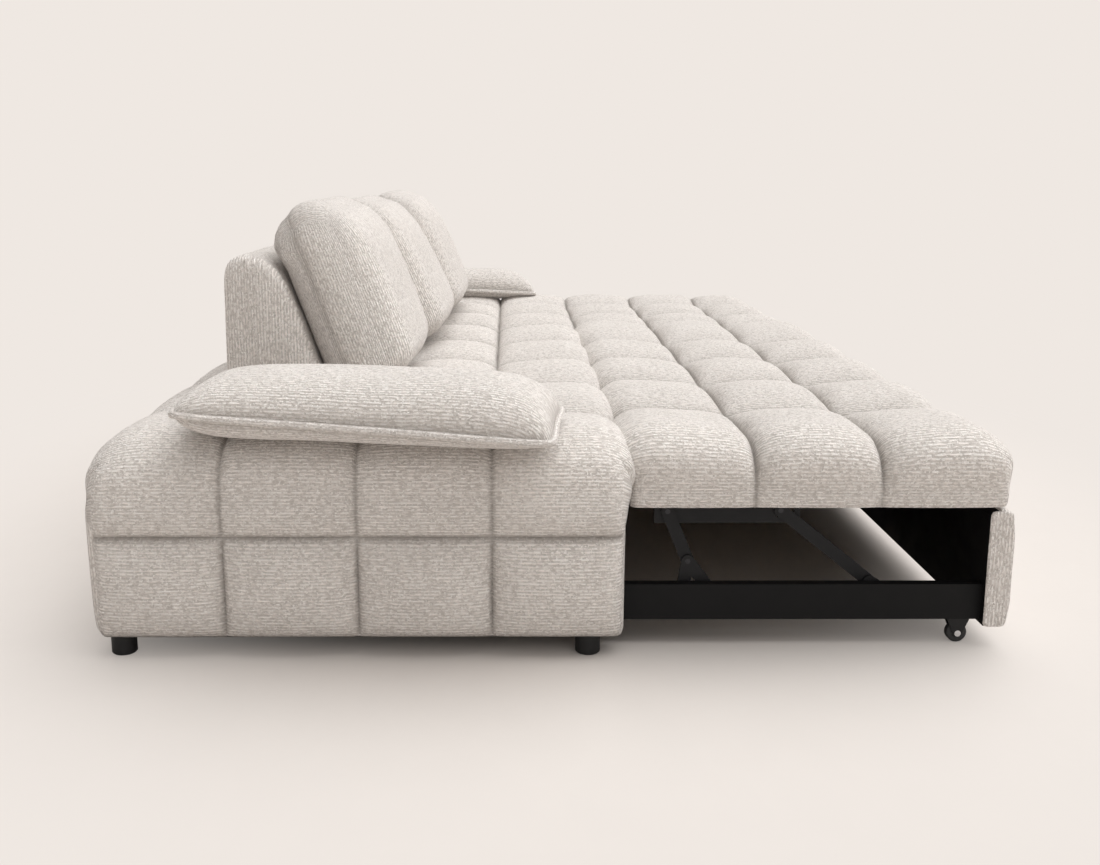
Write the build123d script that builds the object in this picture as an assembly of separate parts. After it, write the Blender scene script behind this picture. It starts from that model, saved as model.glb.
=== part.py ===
# Corner sofa bed: upholstered platform with a chaise, a pull-out bed on castors that
# rises on lift arms, loose backrests, back cushions and arm cushions.
# Millimetres, +Z up, X along the back (chaise at +X), front towards -Y, floor at Z = 0.
import os
from itertools import pairwise
from math import cos, radians, sin

from build123d import *

# Overall sizes; NEAR and BACK are the outer faces that other places are counted from
LENGTH = 2840
DEPTH = 1820
SEAT_DEPTH = 1050
MAIN_LENGTH = 1880
SEAT_TOP = 450
FOOT_HEIGHT = 43
NEAR = -LENGTH / 2
BACK = DEPTH / 2

# Upholstery
SEAT_PAD = 120
PANEL_PAD = 30
REAR_PAD = 20
BAND_PAD = 10
LINING_PAD = 8
TUFT_SINK = 17
CROWN_LIFT = 2
SIDE_SINK = 7
SIDE_TRIM = 0.5
CORNER_SINK = 11
EDGE_DROP = 52
EDGE_ROUND = 65
EDGE_FALL = 6
INNER_DROP = 20
PANEL_SINK = 14
PANEL_DROP = 22
PLATFORM_COLUMNS = 4
BED_COLUMNS = 3
MAIN_ROWS = 5
CHAISE_ROWS = 3
END_SEAM_Z = 247
PAD_GAP = 4

# Boards and deck
NEAR_BOARD = 32
BOARD = 22
REAR_BOARD = 20
DECK_RAIL = 35
DECK_RAIL_WIDTH = 40
MAIN_CROSS_RAILS = 2
CHAISE_CROSS_RAILS = 1
WEBBING = 3
WEBBING_WIDTH = 50
MAIN_WEB_COUNT = 3
CHAISE_WEB_COUNT = 2
BLOCK = 45

# Feet
FOOT_R = 25
FOOT_INSET = 50
NEAR_FOOT_INSET = 72
FOOT_BEVEL = 3
FOOT_SCREW_R = 4
FOOT_SCREW_LENGTH = 60
FOOT_SCREW_START = 12
SCREW_CLEARANCE = 0.1

# Pull-out frame
BED_NEAR_GAP = 4
BED_FAR_GAP = 6
BED_REAR_GAP = 6
RAIL_INSET = 14
RAIL = 24
RAIL_BOTTOM = 54
RAIL_TOP = 128
RAIL_OVERLAP = 220
PANEL_BOARD = 14
FRONT_PAD = 30
FRONT_PAD_SINK = 8
PANEL_BOTTOM = 45
PANEL_TOP = 286
PANEL_TUCK = 12
RUNNER_HEIGHT = 26
RUNNER_MID_Z = 91
RUNNER_SETBACK = 10
CHANNEL_WALL = 2
CHANNEL_LIP = 8
RUNNING_GAP = 0.5

# Castors
WHEEL_R = 20.5
WHEEL_WIDTH = 18
WHEEL_BEVEL = 2.5
CASTOR_X = 20
CASTOR_INSET = 85
AXLE_R = 4
AXLE_HEAD_R = 6.5
AXLE_HEAD = 2
FORK_WALL = 3
FORK_PLATE = 4
FORK_LENGTH = 44
RUNNING_FIT = 0.05

# Bed seat
BED_FRONT_INSET = 14
BED_BOTTOM = 293
BED_PAD = 85
SKIRT_TUCK = 11
SLAT = 12
SLAT_WIDTH = 90
SLATS = 11
BED_RAIL = 22
BED_RAIL_LIFT = 4

# Lift arms: the rear pivot lies in front of the main seat, the front one behind the bed's front panel;
# angles are counted from the front, upwards
REAR_PIVOT_AHEAD = 133
REAR_PIVOT_Z = 169
REAR_ARM = 111.5
REAR_ARM_ANGLE = 112.5
REAR_ARM_SWING = 99.4
FRONT_PIVOT_INSET = 266
FRONT_PIVOT_Z = 125
FRONT_ARM = 238
FRONT_ARM_ANGLE = 141.3
FRONT_ARM_SWING = 41.9
ARM_WIDTH = 26
ARM_PLATE = 5
BRACKET_PLATE = 4
BRACKET_SPREAD = 62
BRACKET_FOOT_Z = 88
LIFT_GAP = 1.5
PIN_R = 5
TOP_BAR = 3
TOP_BAR_FLANGE = 32
TOP_BAR_MARGIN = 12
SLOT_CLEARANCE = 1.5
DRIFT_STEPS = 24

# Backrests and back cushions; each backrest is pulled forward by its own amount
BACKREST_START = 520
BACKREST_END = 310
BACKREST_GAP = 4
BACKREST_SETBACK = 165
BACKREST_FORWARD = (0, 20, 55)
BACKREST_FOOT = 228
BACKREST_HEAD = 140
BACKREST_HEIGHT = 305
BACKREST_END_CROWN = 12
BACKREST_BOARD = 18
BACKREST_BOARD_HEIGHT = 200
BACKREST_BOARD_MARGIN = 60
REST_GAP = 0.3
SETTLE_STEPS = 3
BACK_CUSHION_LEAN = (20, 25, 22)
BACK_CUSHION_THICK = 196
BACK_CUSHION_HEIGHT = 440
BACK_CUSHION_AHEAD = 180
BACK_CUSHION_GAP = 8
BACK_CUSHION_BORDER = 0.84
BACK_CUSHION_ROUND = 38
BACK_CUSHION_END_BORDER = 0.88
BACK_CUSHION_END_ROUND = 24
BACK_CUSHION_CORNER = 60
BACK_CUSHION_PULL = 8

# Arm cushions
ARM_CUSHION = (290, 715, 124)
ARM_CUSHION_SEAM = 42
ARM_CUSHION_PIPING = 3
ARM_CUSHION_FOOT = 42
ARM_CUSHION_SHOULDER = 75
ARM_CUSHION_CREST_FALL = 13
ARM_CUSHION_CORNER = 45
ARM_CUSHION_PULL = 10
ARM_CUSHION_OVERHANG = 70
ARM_CUSHION_R = 557
ARM_CUSHION_TURN = 6
ARM_CUSHION_TILT = 3

# Places that follow from the sizes
SEAT_BASE = SEAT_TOP - SEAT_PAD
DECK_BOTTOM = SEAT_BASE - DECK_RAIL
PANEL_HEIGHT = SEAT_BASE - FOOT_HEIGHT
FRONT = BACK - DEPTH
MAIN_FRONT = BACK - SEAT_DEPTH
FAR = NEAR + LENGTH
SPLIT = NEAR + MAIN_LENGTH
WALL_NEAR = NEAR + PANEL_PAD + NEAR_BOARD
PARTITION = SPLIT + LINING_PAD - PAD_GAP / 2
PARTITION_FAR = PARTITION + BOARD
BED_NEAR = WALL_NEAR + BED_NEAR_GAP
BED_FAR = PARTITION - LINING_PAD - BED_FAR_GAP
BED_LENGTH = BED_FAR - BED_NEAR
BED_REAR = MAIN_FRONT - BED_REAR_GAP
BED_FRONT = FRONT + BED_FRONT_INSET
BED_DEPTH = BED_REAR - BED_FRONT
BED_PAD_BASE = SEAT_TOP - BED_PAD
SLAT_BASE = BED_PAD_BASE - SLAT
RAIL_NEAR = BED_NEAR + RAIL_INSET
RAIL_FAR = BED_FAR - RAIL_INSET
PANEL_FACE = FRONT + FRONT_PAD + PANEL_BOARD
REAR_PIVOT = (MAIN_FRONT - REAR_PIVOT_AHEAD, REAR_PIVOT_Z)
FRONT_PIVOT = (FRONT + FRONT_PIVOT_INSET, FRONT_PIVOT_Z)
BACKREST_PITCH = (LENGTH - BACKREST_START - BACKREST_END) / len(BACKREST_FORWARD)
END_STOPS = (0, END_SEAM_Z - FOOT_HEIGHT, PANEL_HEIGHT)
nodes = {}


def even(start, end, count):
    """Stops that divide a stretch into equal parts."""
    return [start + (end - start) * i / count for i in range(count + 1)]


def block(low, high):
    """Box between two corners."""
    size = [b - a for a, b in zip(low, high)]
    centre = [(a + b) / 2 for a, b in zip(low, high)]
    return Pos(*centre) * Box(*size)


def prism(edges, plane, length):
    """Solid drawn on a plane and raised along the plane's normal."""
    return extrude(plane * Face(Wire(edges)), amount=length, dir=plane.z_dir)


def across_x(x):
    """Plane that looks along +X, with Y and Z as its own axes."""
    return Plane(origin=(x, 0, 0), x_dir=(0, 1, 0), z_dir=(1, 0, 0))


def across_y(y):
    """Plane that looks along -Y, with X and Z as its own axes."""
    return Plane(origin=(0, y, 0), x_dir=(1, 0, 0), z_dir=(0, -1, 0))


def group(solids):
    """Several separate solids in one node."""
    return Compound(children=list(solids))


# Upholstered forms


def slope(top, end, outward, plump):
    """Arc from a crest to a sewn line or, where plump, a shoulder and a rounded edge."""
    if not plump:
        return [TangentArc(top, end, tangent=(outward, 0))]
    shoulder = TangentArc(top, (end[0] - outward * EDGE_ROUND, top[1] - EDGE_FALL), tangent=(outward, 0))
    return [shoulder, TangentArc(shoulder @ 1, end, tangent=shoulder % 1)]


def puff(stops, crest, sewn, ends, plump=False):
    """Arcs that swell to the crest between the stops. An end of None stays at the crest."""
    heights = [ends[0], *[sewn] * (len(stops) - 2), ends[1]]
    arcs = []
    for (a, left), (b, right) in pairwise(zip(stops, heights)):
        top = (a if left is None else b if right is None else (a + b) / 2, crest)
        if left is not None:
            arcs += slope(top, (a, left), -1, plump and a == stops[0])
        if right is not None:
            arcs += slope(top, (b, right), 1, plump and b == stops[-1])
    return arcs


def swollen(stops, crest, sink, drops, plane, length, plump):
    """Prism with a flat base at zero and a swollen top."""
    ends = [None if drop is None else crest - drop for drop in drops]
    first, last = [crest if end is None else end for end in ends]
    base = Polyline((stops[0], first), (stops[0], 0), (stops[-1], 0), (stops[-1], last))
    return prism([*puff(stops, crest, crest - sink, ends, plump), *base.edges()], plane, length)


def drawn_outline(u_stops, v_stops):
    """Outline of a pad seen from above, drawn in at its corners and at each sewn line."""
    sides = []
    for stops, low, high, turned in ((u_stops, v_stops[0], v_stops[-1], False),
                                     (v_stops, u_stops[0], u_stops[-1], True)):
        inner = [stops[0] + CORNER_SINK, *stops[1:-1], stops[-1] - CORNER_SINK]
        for arc in puff(inner, -SIDE_TRIM, -SIDE_SINK, (-CORNER_SINK, -CORNER_SINK)):
            for face, outward in ((high, 1), (low, -1)):
                points = [arc @ 0, arc @ 0.5, arc @ 1]
                flat = [(p.X, face + outward * p.Y) for p in points]
                sides.append(ThreePointArc(*[(v, u) if turned else (u, v) for u, v in flat]))
    return sides


def quilt(u_stops, v_stops, thick, sink, u_drops, v_drops, seat=False):
    """Padded slab on the XY plane, crowned towards +Z and sewn down along its inner stops.

    A seat pad has plump edges, and is drawn in at its sides where the sewn lines end.
    """
    width = u_stops[-1] - u_stops[0]
    height = v_stops[-1] - v_stops[0]
    lifted = [None if drop is None else drop + CROWN_LIFT for drop in v_drops]
    pad = swollen(u_stops, thick, sink, u_drops, across_y(v_stops[-1]), height, seat)
    pad &= swollen(v_stops, thick + CROWN_LIFT, sink + CROWN_LIFT, lifted, across_x(u_stops[0]), width, seat)
    if seat:
        pad &= prism(drawn_outline(u_stops, v_stops), Plane.XY, thick + 2 * CROWN_LIFT)
    return pad


def facing(direction, along, origin):
    """Plane whose own Z points out of an upright panel."""
    return Plane(origin=origin, x_dir=along, z_dir=direction)


# Main seat and its upholstery
platform_stops = even(0, SEAT_DEPTH, PLATFORM_COLUMNS)
front_stops = even(0, DEPTH - SEAT_DEPTH, BED_COLUMNS)
chaise_stops = [*front_stops, *[DEPTH - SEAT_DEPTH + s for s in platform_stops[1:]]]
main_stops = even(0, MAIN_LENGTH - PAD_GAP / 2, MAIN_ROWS)
chaise_rows = even(0, LENGTH - MAIN_LENGTH - PAD_GAP / 2, CHAISE_ROWS)

main_pad = quilt(main_stops, platform_stops, SEAT_PAD, TUFT_SINK, (EDGE_DROP, INNER_DROP),
                 (EDGE_DROP, EDGE_DROP), seat=True)
nodes["main_seat_pad"] = Pos(NEAR, MAIN_FRONT, SEAT_BASE) * main_pad

end_plane = facing((-1, 0, 0), (0, -1, 0), (NEAR + PANEL_PAD, BACK, FOOT_HEIGHT))
nodes["near_end_panel"] = end_plane * quilt(platform_stops, END_STOPS, PANEL_PAD, PANEL_SINK,
                                            (PANEL_DROP, PANEL_DROP), (PANEL_DROP, None))


def rear_cover(x_low, x_high):
    """Plain crowned cover on the back of a platform."""
    width = x_high - x_low
    plane = facing((0, 1, 0), (-1, 0, 0), (x_high, BACK - REAR_PAD, FOOT_HEIGHT))
    pad = quilt((0, width), (0, PANEL_HEIGHT), REAR_PAD, 0, (BAND_PAD, BAND_PAD), (BAND_PAD, None))
    return plane * pad


nodes["main_rear_cover"] = rear_cover(NEAR + PANEL_PAD, SPLIT - PAD_GAP / 2)
nodes["main_front_band"] = group([
    block((WALL_NEAR, MAIN_FRONT, DECK_BOTTOM), (PARTITION, MAIN_FRONT + BAND_PAD, SEAT_BASE)),
    block((NEAR + PANEL_PAD, MAIN_FRONT, FOOT_HEIGHT), (WALL_NEAR, MAIN_FRONT + BAND_PAD, SEAT_BASE)),
])

# Chaise upholstery
chaise_pad = quilt(chaise_rows, chaise_stops, SEAT_PAD, TUFT_SINK, (INNER_DROP, EDGE_DROP),
                   (EDGE_DROP, EDGE_DROP), seat=True)
nodes["chaise_seat_pad"] = Pos(SPLIT + PAD_GAP / 2, FRONT, SEAT_BASE) * chaise_pad

chaise_front_plane = facing((0, -1, 0), (1, 0, 0), (SPLIT + PAD_GAP / 2, FRONT + PANEL_PAD, FOOT_HEIGHT))
nodes["chaise_front_panel"] = chaise_front_plane * quilt(
    chaise_rows, END_STOPS, PANEL_PAD, PANEL_SINK, (PANEL_DROP, PANEL_DROP), (PANEL_DROP, None))

chaise_end_plane = facing((1, 0, 0), (0, 1, 0), (FAR - PANEL_PAD, FRONT, FOOT_HEIGHT))
far_stops = [PANEL_PAD, *chaise_stops[1:]]
nodes["chaise_end_panel"] = chaise_end_plane * quilt(
    far_stops, END_STOPS, PANEL_PAD, PANEL_SINK, (PANEL_DROP, PANEL_DROP), (PANEL_DROP, None))

nodes["chaise_inner_lining"] = block((PARTITION - LINING_PAD, FRONT + PANEL_PAD, FOOT_HEIGHT),
                                     (PARTITION, MAIN_FRONT - PAD_GAP, SEAT_BASE))
nodes["chaise_rear_cover"] = rear_cover(SPLIT + PAD_GAP / 2, FAR - PANEL_PAD)

# Boards that carry the platform
board_front = MAIN_FRONT + BAND_PAD
board_back = BACK - REAR_PAD
frame_back = board_back - REAR_BOARD
chaise_board_front = FRONT + PANEL_PAD
foot_rows = [
    (NEAR + PANEL_PAD + NEAR_BOARD / 2, (FOOT_INSET, SEAT_DEPTH - NEAR_FOOT_INSET)),
    (PARTITION + BOARD / 2, (FOOT_INSET, SEAT_DEPTH - FOOT_INSET, DEPTH - FOOT_INSET)),
    (FAR - PANEL_PAD - BOARD / 2, (FOOT_INSET, DEPTH - FOOT_INSET)),
]
foot_places = [Pos(x, BACK - r, 0) for x, rows in foot_rows for r in rows]
stud_place = Pos(0, 0, FOOT_SCREW_START + FOOT_SCREW_LENGTH / 2)
foot_stud = stud_place * Cylinder(FOOT_SCREW_R, FOOT_SCREW_LENGTH)
stud_hole = stud_place * Cylinder(FOOT_SCREW_R + SCREW_CLEARANCE, FOOT_SCREW_LENGTH)


def drilled(solid):
    """Board or foot with the stud holes of every foot site."""
    for place in foot_places:
        solid -= place * stud_hole
    return solid


nodes["near_side_board"] = drilled(block((NEAR + PANEL_PAD, board_front, FOOT_HEIGHT),
                                         (WALL_NEAR, board_back, SEAT_BASE)))
nodes["partition_board"] = drilled(block((PARTITION, chaise_board_front, FOOT_HEIGHT),
                                         (PARTITION_FAR, board_back, SEAT_BASE)))
nodes["chaise_end_board"] = drilled(block((FAR - PANEL_PAD - BOARD, chaise_board_front, FOOT_HEIGHT),
                                          (FAR - PANEL_PAD, board_back, SEAT_BASE)))
nodes["chaise_front_board"] = block((PARTITION_FAR, chaise_board_front, FOOT_HEIGHT),
                                    (FAR - PANEL_PAD - BOARD, chaise_board_front + BOARD, SEAT_BASE))
nodes["main_rear_board"] = block((WALL_NEAR, frame_back, FOOT_HEIGHT), (PARTITION, board_back, SEAT_BASE))
nodes["chaise_rear_board"] = block((PARTITION_FAR, frame_back, FOOT_HEIGHT),
                                   (FAR - PANEL_PAD - BOARD, board_back, SEAT_BASE))


def deck(x_low, x_high, y_low, y_high, bars):
    """Rails round a deck and cross rails between its front and rear rails."""
    inner_low = y_low + DECK_RAIL_WIDTH
    inner_high = y_high - DECK_RAIL_WIDTH
    rails = [block((x_low, y_low, DECK_BOTTOM), (x_high, inner_low, SEAT_BASE)),
             block((x_low, inner_high, DECK_BOTTOM), (x_high, y_high, SEAT_BASE))]
    starts = even(x_low, x_high - DECK_RAIL_WIDTH, bars + 1)
    for x in starts:
        rails.append(block((x, inner_low, DECK_BOTTOM), (x + DECK_RAIL_WIDTH, inner_high, SEAT_BASE)))
    return rails


def webbing(x_low, x_high, y_low, y_high, bars, count):
    """Elastic bands stretched from the front rail to the rear rail, a few in each bay of a deck."""
    bands = []
    starts = even(x_low, x_high - DECK_RAIL_WIDTH, bars + 1)
    for left, right in pairwise(starts):
        middles = even(left + DECK_RAIL_WIDTH, right, count + 1)[1:-1]
        for x in middles:
            bands.append(block((x - WEBBING_WIDTH / 2, y_low + DECK_RAIL_WIDTH, SEAT_BASE - WEBBING),
                               (x + WEBBING_WIDTH / 2, y_high - DECK_RAIL_WIDTH, SEAT_BASE)))
    return bands


main_deck = (WALL_NEAR, PARTITION, board_front, frame_back)
chaise_deck = (PARTITION_FAR, FAR - PANEL_PAD - BOARD, chaise_board_front + BOARD, frame_back)
nodes["main_deck_rails"] = group(deck(*main_deck, MAIN_CROSS_RAILS))
nodes["main_webbing"] = group(webbing(*main_deck, MAIN_CROSS_RAILS, MAIN_WEB_COUNT))
nodes["chaise_deck_rails"] = group(deck(*chaise_deck, CHAISE_CROSS_RAILS))
nodes["chaise_webbing"] = group(webbing(*chaise_deck, CHAISE_CROSS_RAILS, CHAISE_WEB_COUNT))

block_corners = [(x, y) for x in (chaise_deck[0], chaise_deck[1] - BLOCK)
                 for y in (chaise_deck[2], chaise_deck[3] - BLOCK)]
nodes["chaise_corner_blocks"] = group(
    block((x, y, FOOT_HEIGHT), (x + BLOCK, y + BLOCK, DECK_BOTTOM)) for x, y in block_corners)

# Feet
foot = Pos(0, 0, FOOT_HEIGHT / 2) * Cylinder(FOOT_R, FOOT_HEIGHT)
foot = chamfer(foot.edges().group_by(Axis.Z)[0], FOOT_BEVEL)
nodes["feet"] = group(place * (foot - stud_hole) for place in foot_places)
nodes["foot_studs"] = group(place * foot_stud for place in foot_places)

# Pull-out frame
rail_rear_y = MAIN_FRONT + RAIL_OVERLAP
runner_front_y = MAIN_FRONT + RUNNER_SETBACK
for name, x in (("near", RAIL_NEAR), ("far", RAIL_FAR - RAIL)):
    nodes["drawer_rail_" + name] = block((x, PANEL_FACE, RAIL_BOTTOM), (x + RAIL, rail_rear_y, RAIL_TOP))
nodes["drawer_rear_rail"] = block((RAIL_NEAR + RAIL, rail_rear_y - RAIL, RAIL_BOTTOM),
                                  (RAIL_FAR - RAIL, rail_rear_y, RAIL_TOP))

panel_height = PANEL_TOP - PANEL_BOTTOM
panel_board = block((BED_NEAR, PANEL_FACE - PANEL_BOARD, PANEL_BOTTOM), (BED_FAR, PANEL_FACE, PANEL_TOP))
panel_edge = panel_board.edges().filter_by(Axis.X).group_by(Axis.Z)[-1].sort_by(Axis.Y)[-1]
nodes["front_panel_board"] = chamfer(panel_edge, PANEL_TUCK)
bed_rows = even(0, BED_LENGTH, MAIN_ROWS)
front_plane = facing((0, -1, 0), (1, 0, 0), (BED_NEAR, FRONT + FRONT_PAD, PANEL_BOTTOM))
nodes["front_panel_pad"] = front_plane * quilt(bed_rows, (0, panel_height), FRONT_PAD, FRONT_PAD_SINK,
                                               (FRONT_PAD_SINK, FRONT_PAD_SINK), (PANEL_TUCK, PANEL_TUCK))


def guide(wall, rail_face):
    """Channel on a wall that the drawer's runner slides in; its mouth is towards the drawer."""
    side = 1 if rail_face > wall else -1
    half = RUNNER_HEIGHT / 2 + RUNNING_GAP
    bed_of_channel = rail_face - side * (CHANNEL_LIP + RUNNING_GAP * 2)
    lip = bed_of_channel + side * CHANNEL_LIP
    outline = Polyline((wall, -half - CHANNEL_WALL), (lip, -half - CHANNEL_WALL), (lip, -half),
                       (bed_of_channel, -half), (bed_of_channel, half), (lip, half),
                       (lip, half + CHANNEL_WALL), (wall, half + CHANNEL_WALL), close=True)
    return Pos(0, 0, RUNNER_MID_Z) * prism(outline.edges(), across_y(frame_back), frame_back - runner_front_y)


def runner(rail_face, outward):
    """Bar on the outside of a drawer rail."""
    reach = rail_face + outward * (CHANNEL_LIP + RUNNING_GAP)
    low, high = sorted((rail_face, reach))
    return block((low, runner_front_y, RUNNER_MID_Z - RUNNER_HEIGHT / 2),
                 (high, rail_rear_y, RUNNER_MID_Z + RUNNER_HEIGHT / 2))


nodes["guide_channels"] = group([guide(WALL_NEAR, RAIL_NEAR), guide(PARTITION, RAIL_FAR)])
nodes["drawer_runners"] = group([runner(RAIL_NEAR, -1), runner(RAIL_FAR, 1)])

# Castors
castor_spots = [Pos(x, FRONT + CASTOR_INSET, WHEEL_R) for x in (RAIL_NEAR + CASTOR_X, RAIL_FAR - CASTOR_X)]
along_x = Rot(0, 90, 0)
wheel = along_x * Cylinder(WHEEL_R, WHEEL_WIDTH)
wheel = chamfer(wheel.edges().filter_by(GeomType.CIRCLE), WHEEL_BEVEL)
wheel -= along_x * Cylinder(AXLE_R + RUNNING_FIT, WHEEL_WIDTH)
cheek_in = WHEEL_WIDTH / 2 + RUNNING_GAP
cheek_out = cheek_in + FORK_WALL
fork_top = RAIL_BOTTOM - WHEEL_R
fork = block((-cheek_out, -FORK_LENGTH / 2, fork_top - FORK_PLATE), (cheek_out, FORK_LENGTH / 2, fork_top))
for side in (-1, 1):
    low, high = sorted((side * cheek_in, side * cheek_out))
    taper = Polyline((-FORK_LENGTH / 2, fork_top - FORK_PLATE), (-AXLE_HEAD_R, -AXLE_HEAD_R),
                     (AXLE_HEAD_R, -AXLE_HEAD_R), (FORK_LENGTH / 2, fork_top - FORK_PLATE), close=True)
    fork += prism(taper.edges(), across_x(low), high - low)
fork -= along_x * Cylinder(AXLE_R + RUNNING_FIT, 2 * cheek_out)
axle = along_x * Cylinder(AXLE_R, 2 * cheek_out)
for side in (-1, 1):
    axle += Pos(side * (cheek_out + AXLE_HEAD / 2), 0, 0) * along_x * Cylinder(AXLE_HEAD_R, AXLE_HEAD)
nodes["castor_forks"] = group(spot * fork for spot in castor_spots)
nodes["castor_axles"] = group(spot * axle for spot in castor_spots)
nodes["castor_wheel_near"] = castor_spots[0] * wheel
nodes["castor_wheel_far"] = castor_spots[1] * wheel

# Bed seat
bed_pad = quilt(bed_rows, even(0, BED_DEPTH, BED_COLUMNS), BED_PAD, TUFT_SINK, (EDGE_DROP, EDGE_DROP),
                (EDGE_DROP, EDGE_DROP), seat=True)
nodes["bed_pad"] = Pos(BED_NEAR, BED_FRONT, BED_PAD_BASE) * bed_pad

skirt_height = BED_PAD_BASE - BED_BOTTOM
bed_columns = even(CORNER_SINK, BED_DEPTH - CORNER_SINK, BED_COLUMNS)
bed_columns[1:-1] = even(0, BED_DEPTH, BED_COLUMNS)[1:-1]
bed_bays = [RAIL_INSET, *bed_rows[1:-1], BED_LENGTH - RAIL_INSET]


def skirt(stops, direction, along, origin):
    """Side of the bed below its pad, sewn in line with the pad's tufts and tucked in underneath."""
    sides = (SKIRT_TUCK, SKIRT_TUCK)
    form = quilt(stops, (0, skirt_height), RAIL_INSET, SIDE_SINK, sides, (SKIRT_TUCK, None))
    return facing(direction, along, origin) * form


nodes["bed_skirts"] = group([
    skirt(bed_columns, (-1, 0, 0), (0, -1, 0), (BED_NEAR + RAIL_INSET, BED_REAR, BED_BOTTOM)),
    skirt(bed_columns, (1, 0, 0), (0, 1, 0), (BED_FAR - RAIL_INSET, BED_FRONT, BED_BOTTOM)),
    skirt(bed_bays, (0, -1, 0), (1, 0, 0), (BED_NEAR, BED_FRONT + RAIL_INSET, BED_BOTTOM)),
    skirt([BED_LENGTH - s for s in reversed(bed_bays)], (0, 1, 0), (-1, 0, 0),
          (BED_FAR, BED_REAR - RAIL_INSET, BED_BOTTOM)),
])

frame_low = (BED_NEAR + RAIL_INSET, BED_FRONT + RAIL_INSET, BED_BOTTOM + BED_RAIL_LIFT)
frame_high = (BED_FAR - RAIL_INSET, BED_REAR - RAIL_INSET, SLAT_BASE)
inner_low = (frame_low[0] + BED_RAIL, frame_low[1] + BED_RAIL, frame_low[2])
inner_high = (frame_high[0] - BED_RAIL, frame_high[1] - BED_RAIL, frame_high[2])
nodes["bed_frame"] = group([
    block(frame_low, (frame_high[0], inner_low[1], SLAT_BASE)),
    block((frame_low[0], inner_high[1], frame_low[2]), frame_high),
    block((frame_low[0], inner_low[1], frame_low[2]), (inner_low[0], inner_high[1], SLAT_BASE)),
    block((inner_high[0], inner_low[1], frame_low[2]), (frame_high[0], inner_high[1], SLAT_BASE)),
])
slat_starts = even(frame_low[0], frame_high[0] - SLAT_WIDTH, SLATS - 1)
nodes["bed_slats"] = group(
    block((x, frame_low[1], SLAT_BASE), (x + SLAT_WIDTH, frame_high[1], BED_PAD_BASE)) for x in slat_starts)


# Lift arms
def reach(pivot, length, angle):
    """Far end, in Y and Z, of an arm that leaves a pivot at an angle from the front, upwards."""
    return (pivot[0] - length * cos(radians(angle)), pivot[1] + length * sin(radians(angle)))


def pin_drift(share):
    """Where the front arm's upper pin lies on the seat when a share of the swing is done."""
    rear = reach((0, 0), REAR_ARM, REAR_ARM_ANGLE + REAR_ARM_SWING * share)
    rear_rest = reach((0, 0), REAR_ARM, REAR_ARM_ANGLE)
    front = reach((0, 0), FRONT_ARM, FRONT_ARM_ANGLE + FRONT_ARM_SWING * share)
    front_rest = reach((0, 0), FRONT_ARM, FRONT_ARM_ANGLE)
    return [front[i] - front_rest[i] - rear[i] + rear_rest[i] for i in (0, 1)]


def disc(point, radius, low, high):
    """Round pin, boss or hole along X."""
    return Pos((low + high) / 2, *point) * along_x * Cylinder(radius, abs(high - low))


def flat_bar(start, end, width, low, high):
    """Flat bar with round ends between two points in Y and Z."""
    run = Vector(*end) - Vector(*start)
    side = run.rotate(Axis.Z, 90).normalized() * (width / 2)
    corners = [Vector(*start) + side, Vector(*end) + side, Vector(*end) - side, Vector(*start) - side]
    bar = prism(Polyline(*corners, close=True).edges(), across_x(min(low, high)), abs(high - low))
    return bar + disc(start, width / 2, low, high) + disc(end, width / 2, low, high)


def holed(solid, points, low, high):
    """Solid with running holes for pins."""
    for point in points:
        solid -= disc(point, PIN_R + RUNNING_FIT, low, high)
    return solid


rear_top = reach(REAR_PIVOT, REAR_ARM, REAR_ARM_ANGLE)
front_top = reach(FRONT_PIVOT, FRONT_ARM, FRONT_ARM_ANGLE)
drifts = [pin_drift(i / DRIFT_STEPS) for i in range(DRIFT_STEPS + 1)]
slot_room = PIN_R + SLOT_CLEARANCE
slot_low = [front_top[i] + min(d[i] for d in drifts) - slot_room for i in (0, 1)]
slot_high = [front_top[i] + max(d[i] for d in drifts) + slot_room for i in (0, 1)]
bar_bottom = slot_low[1] - TOP_BAR_MARGIN
bar_front = slot_low[0] - TOP_BAR_MARGIN
bar_rear = rear_top[0] + ARM_WIDTH
print("front pin slot", [round(b - a, 1) for a, b in zip(slot_low, slot_high)])

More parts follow.
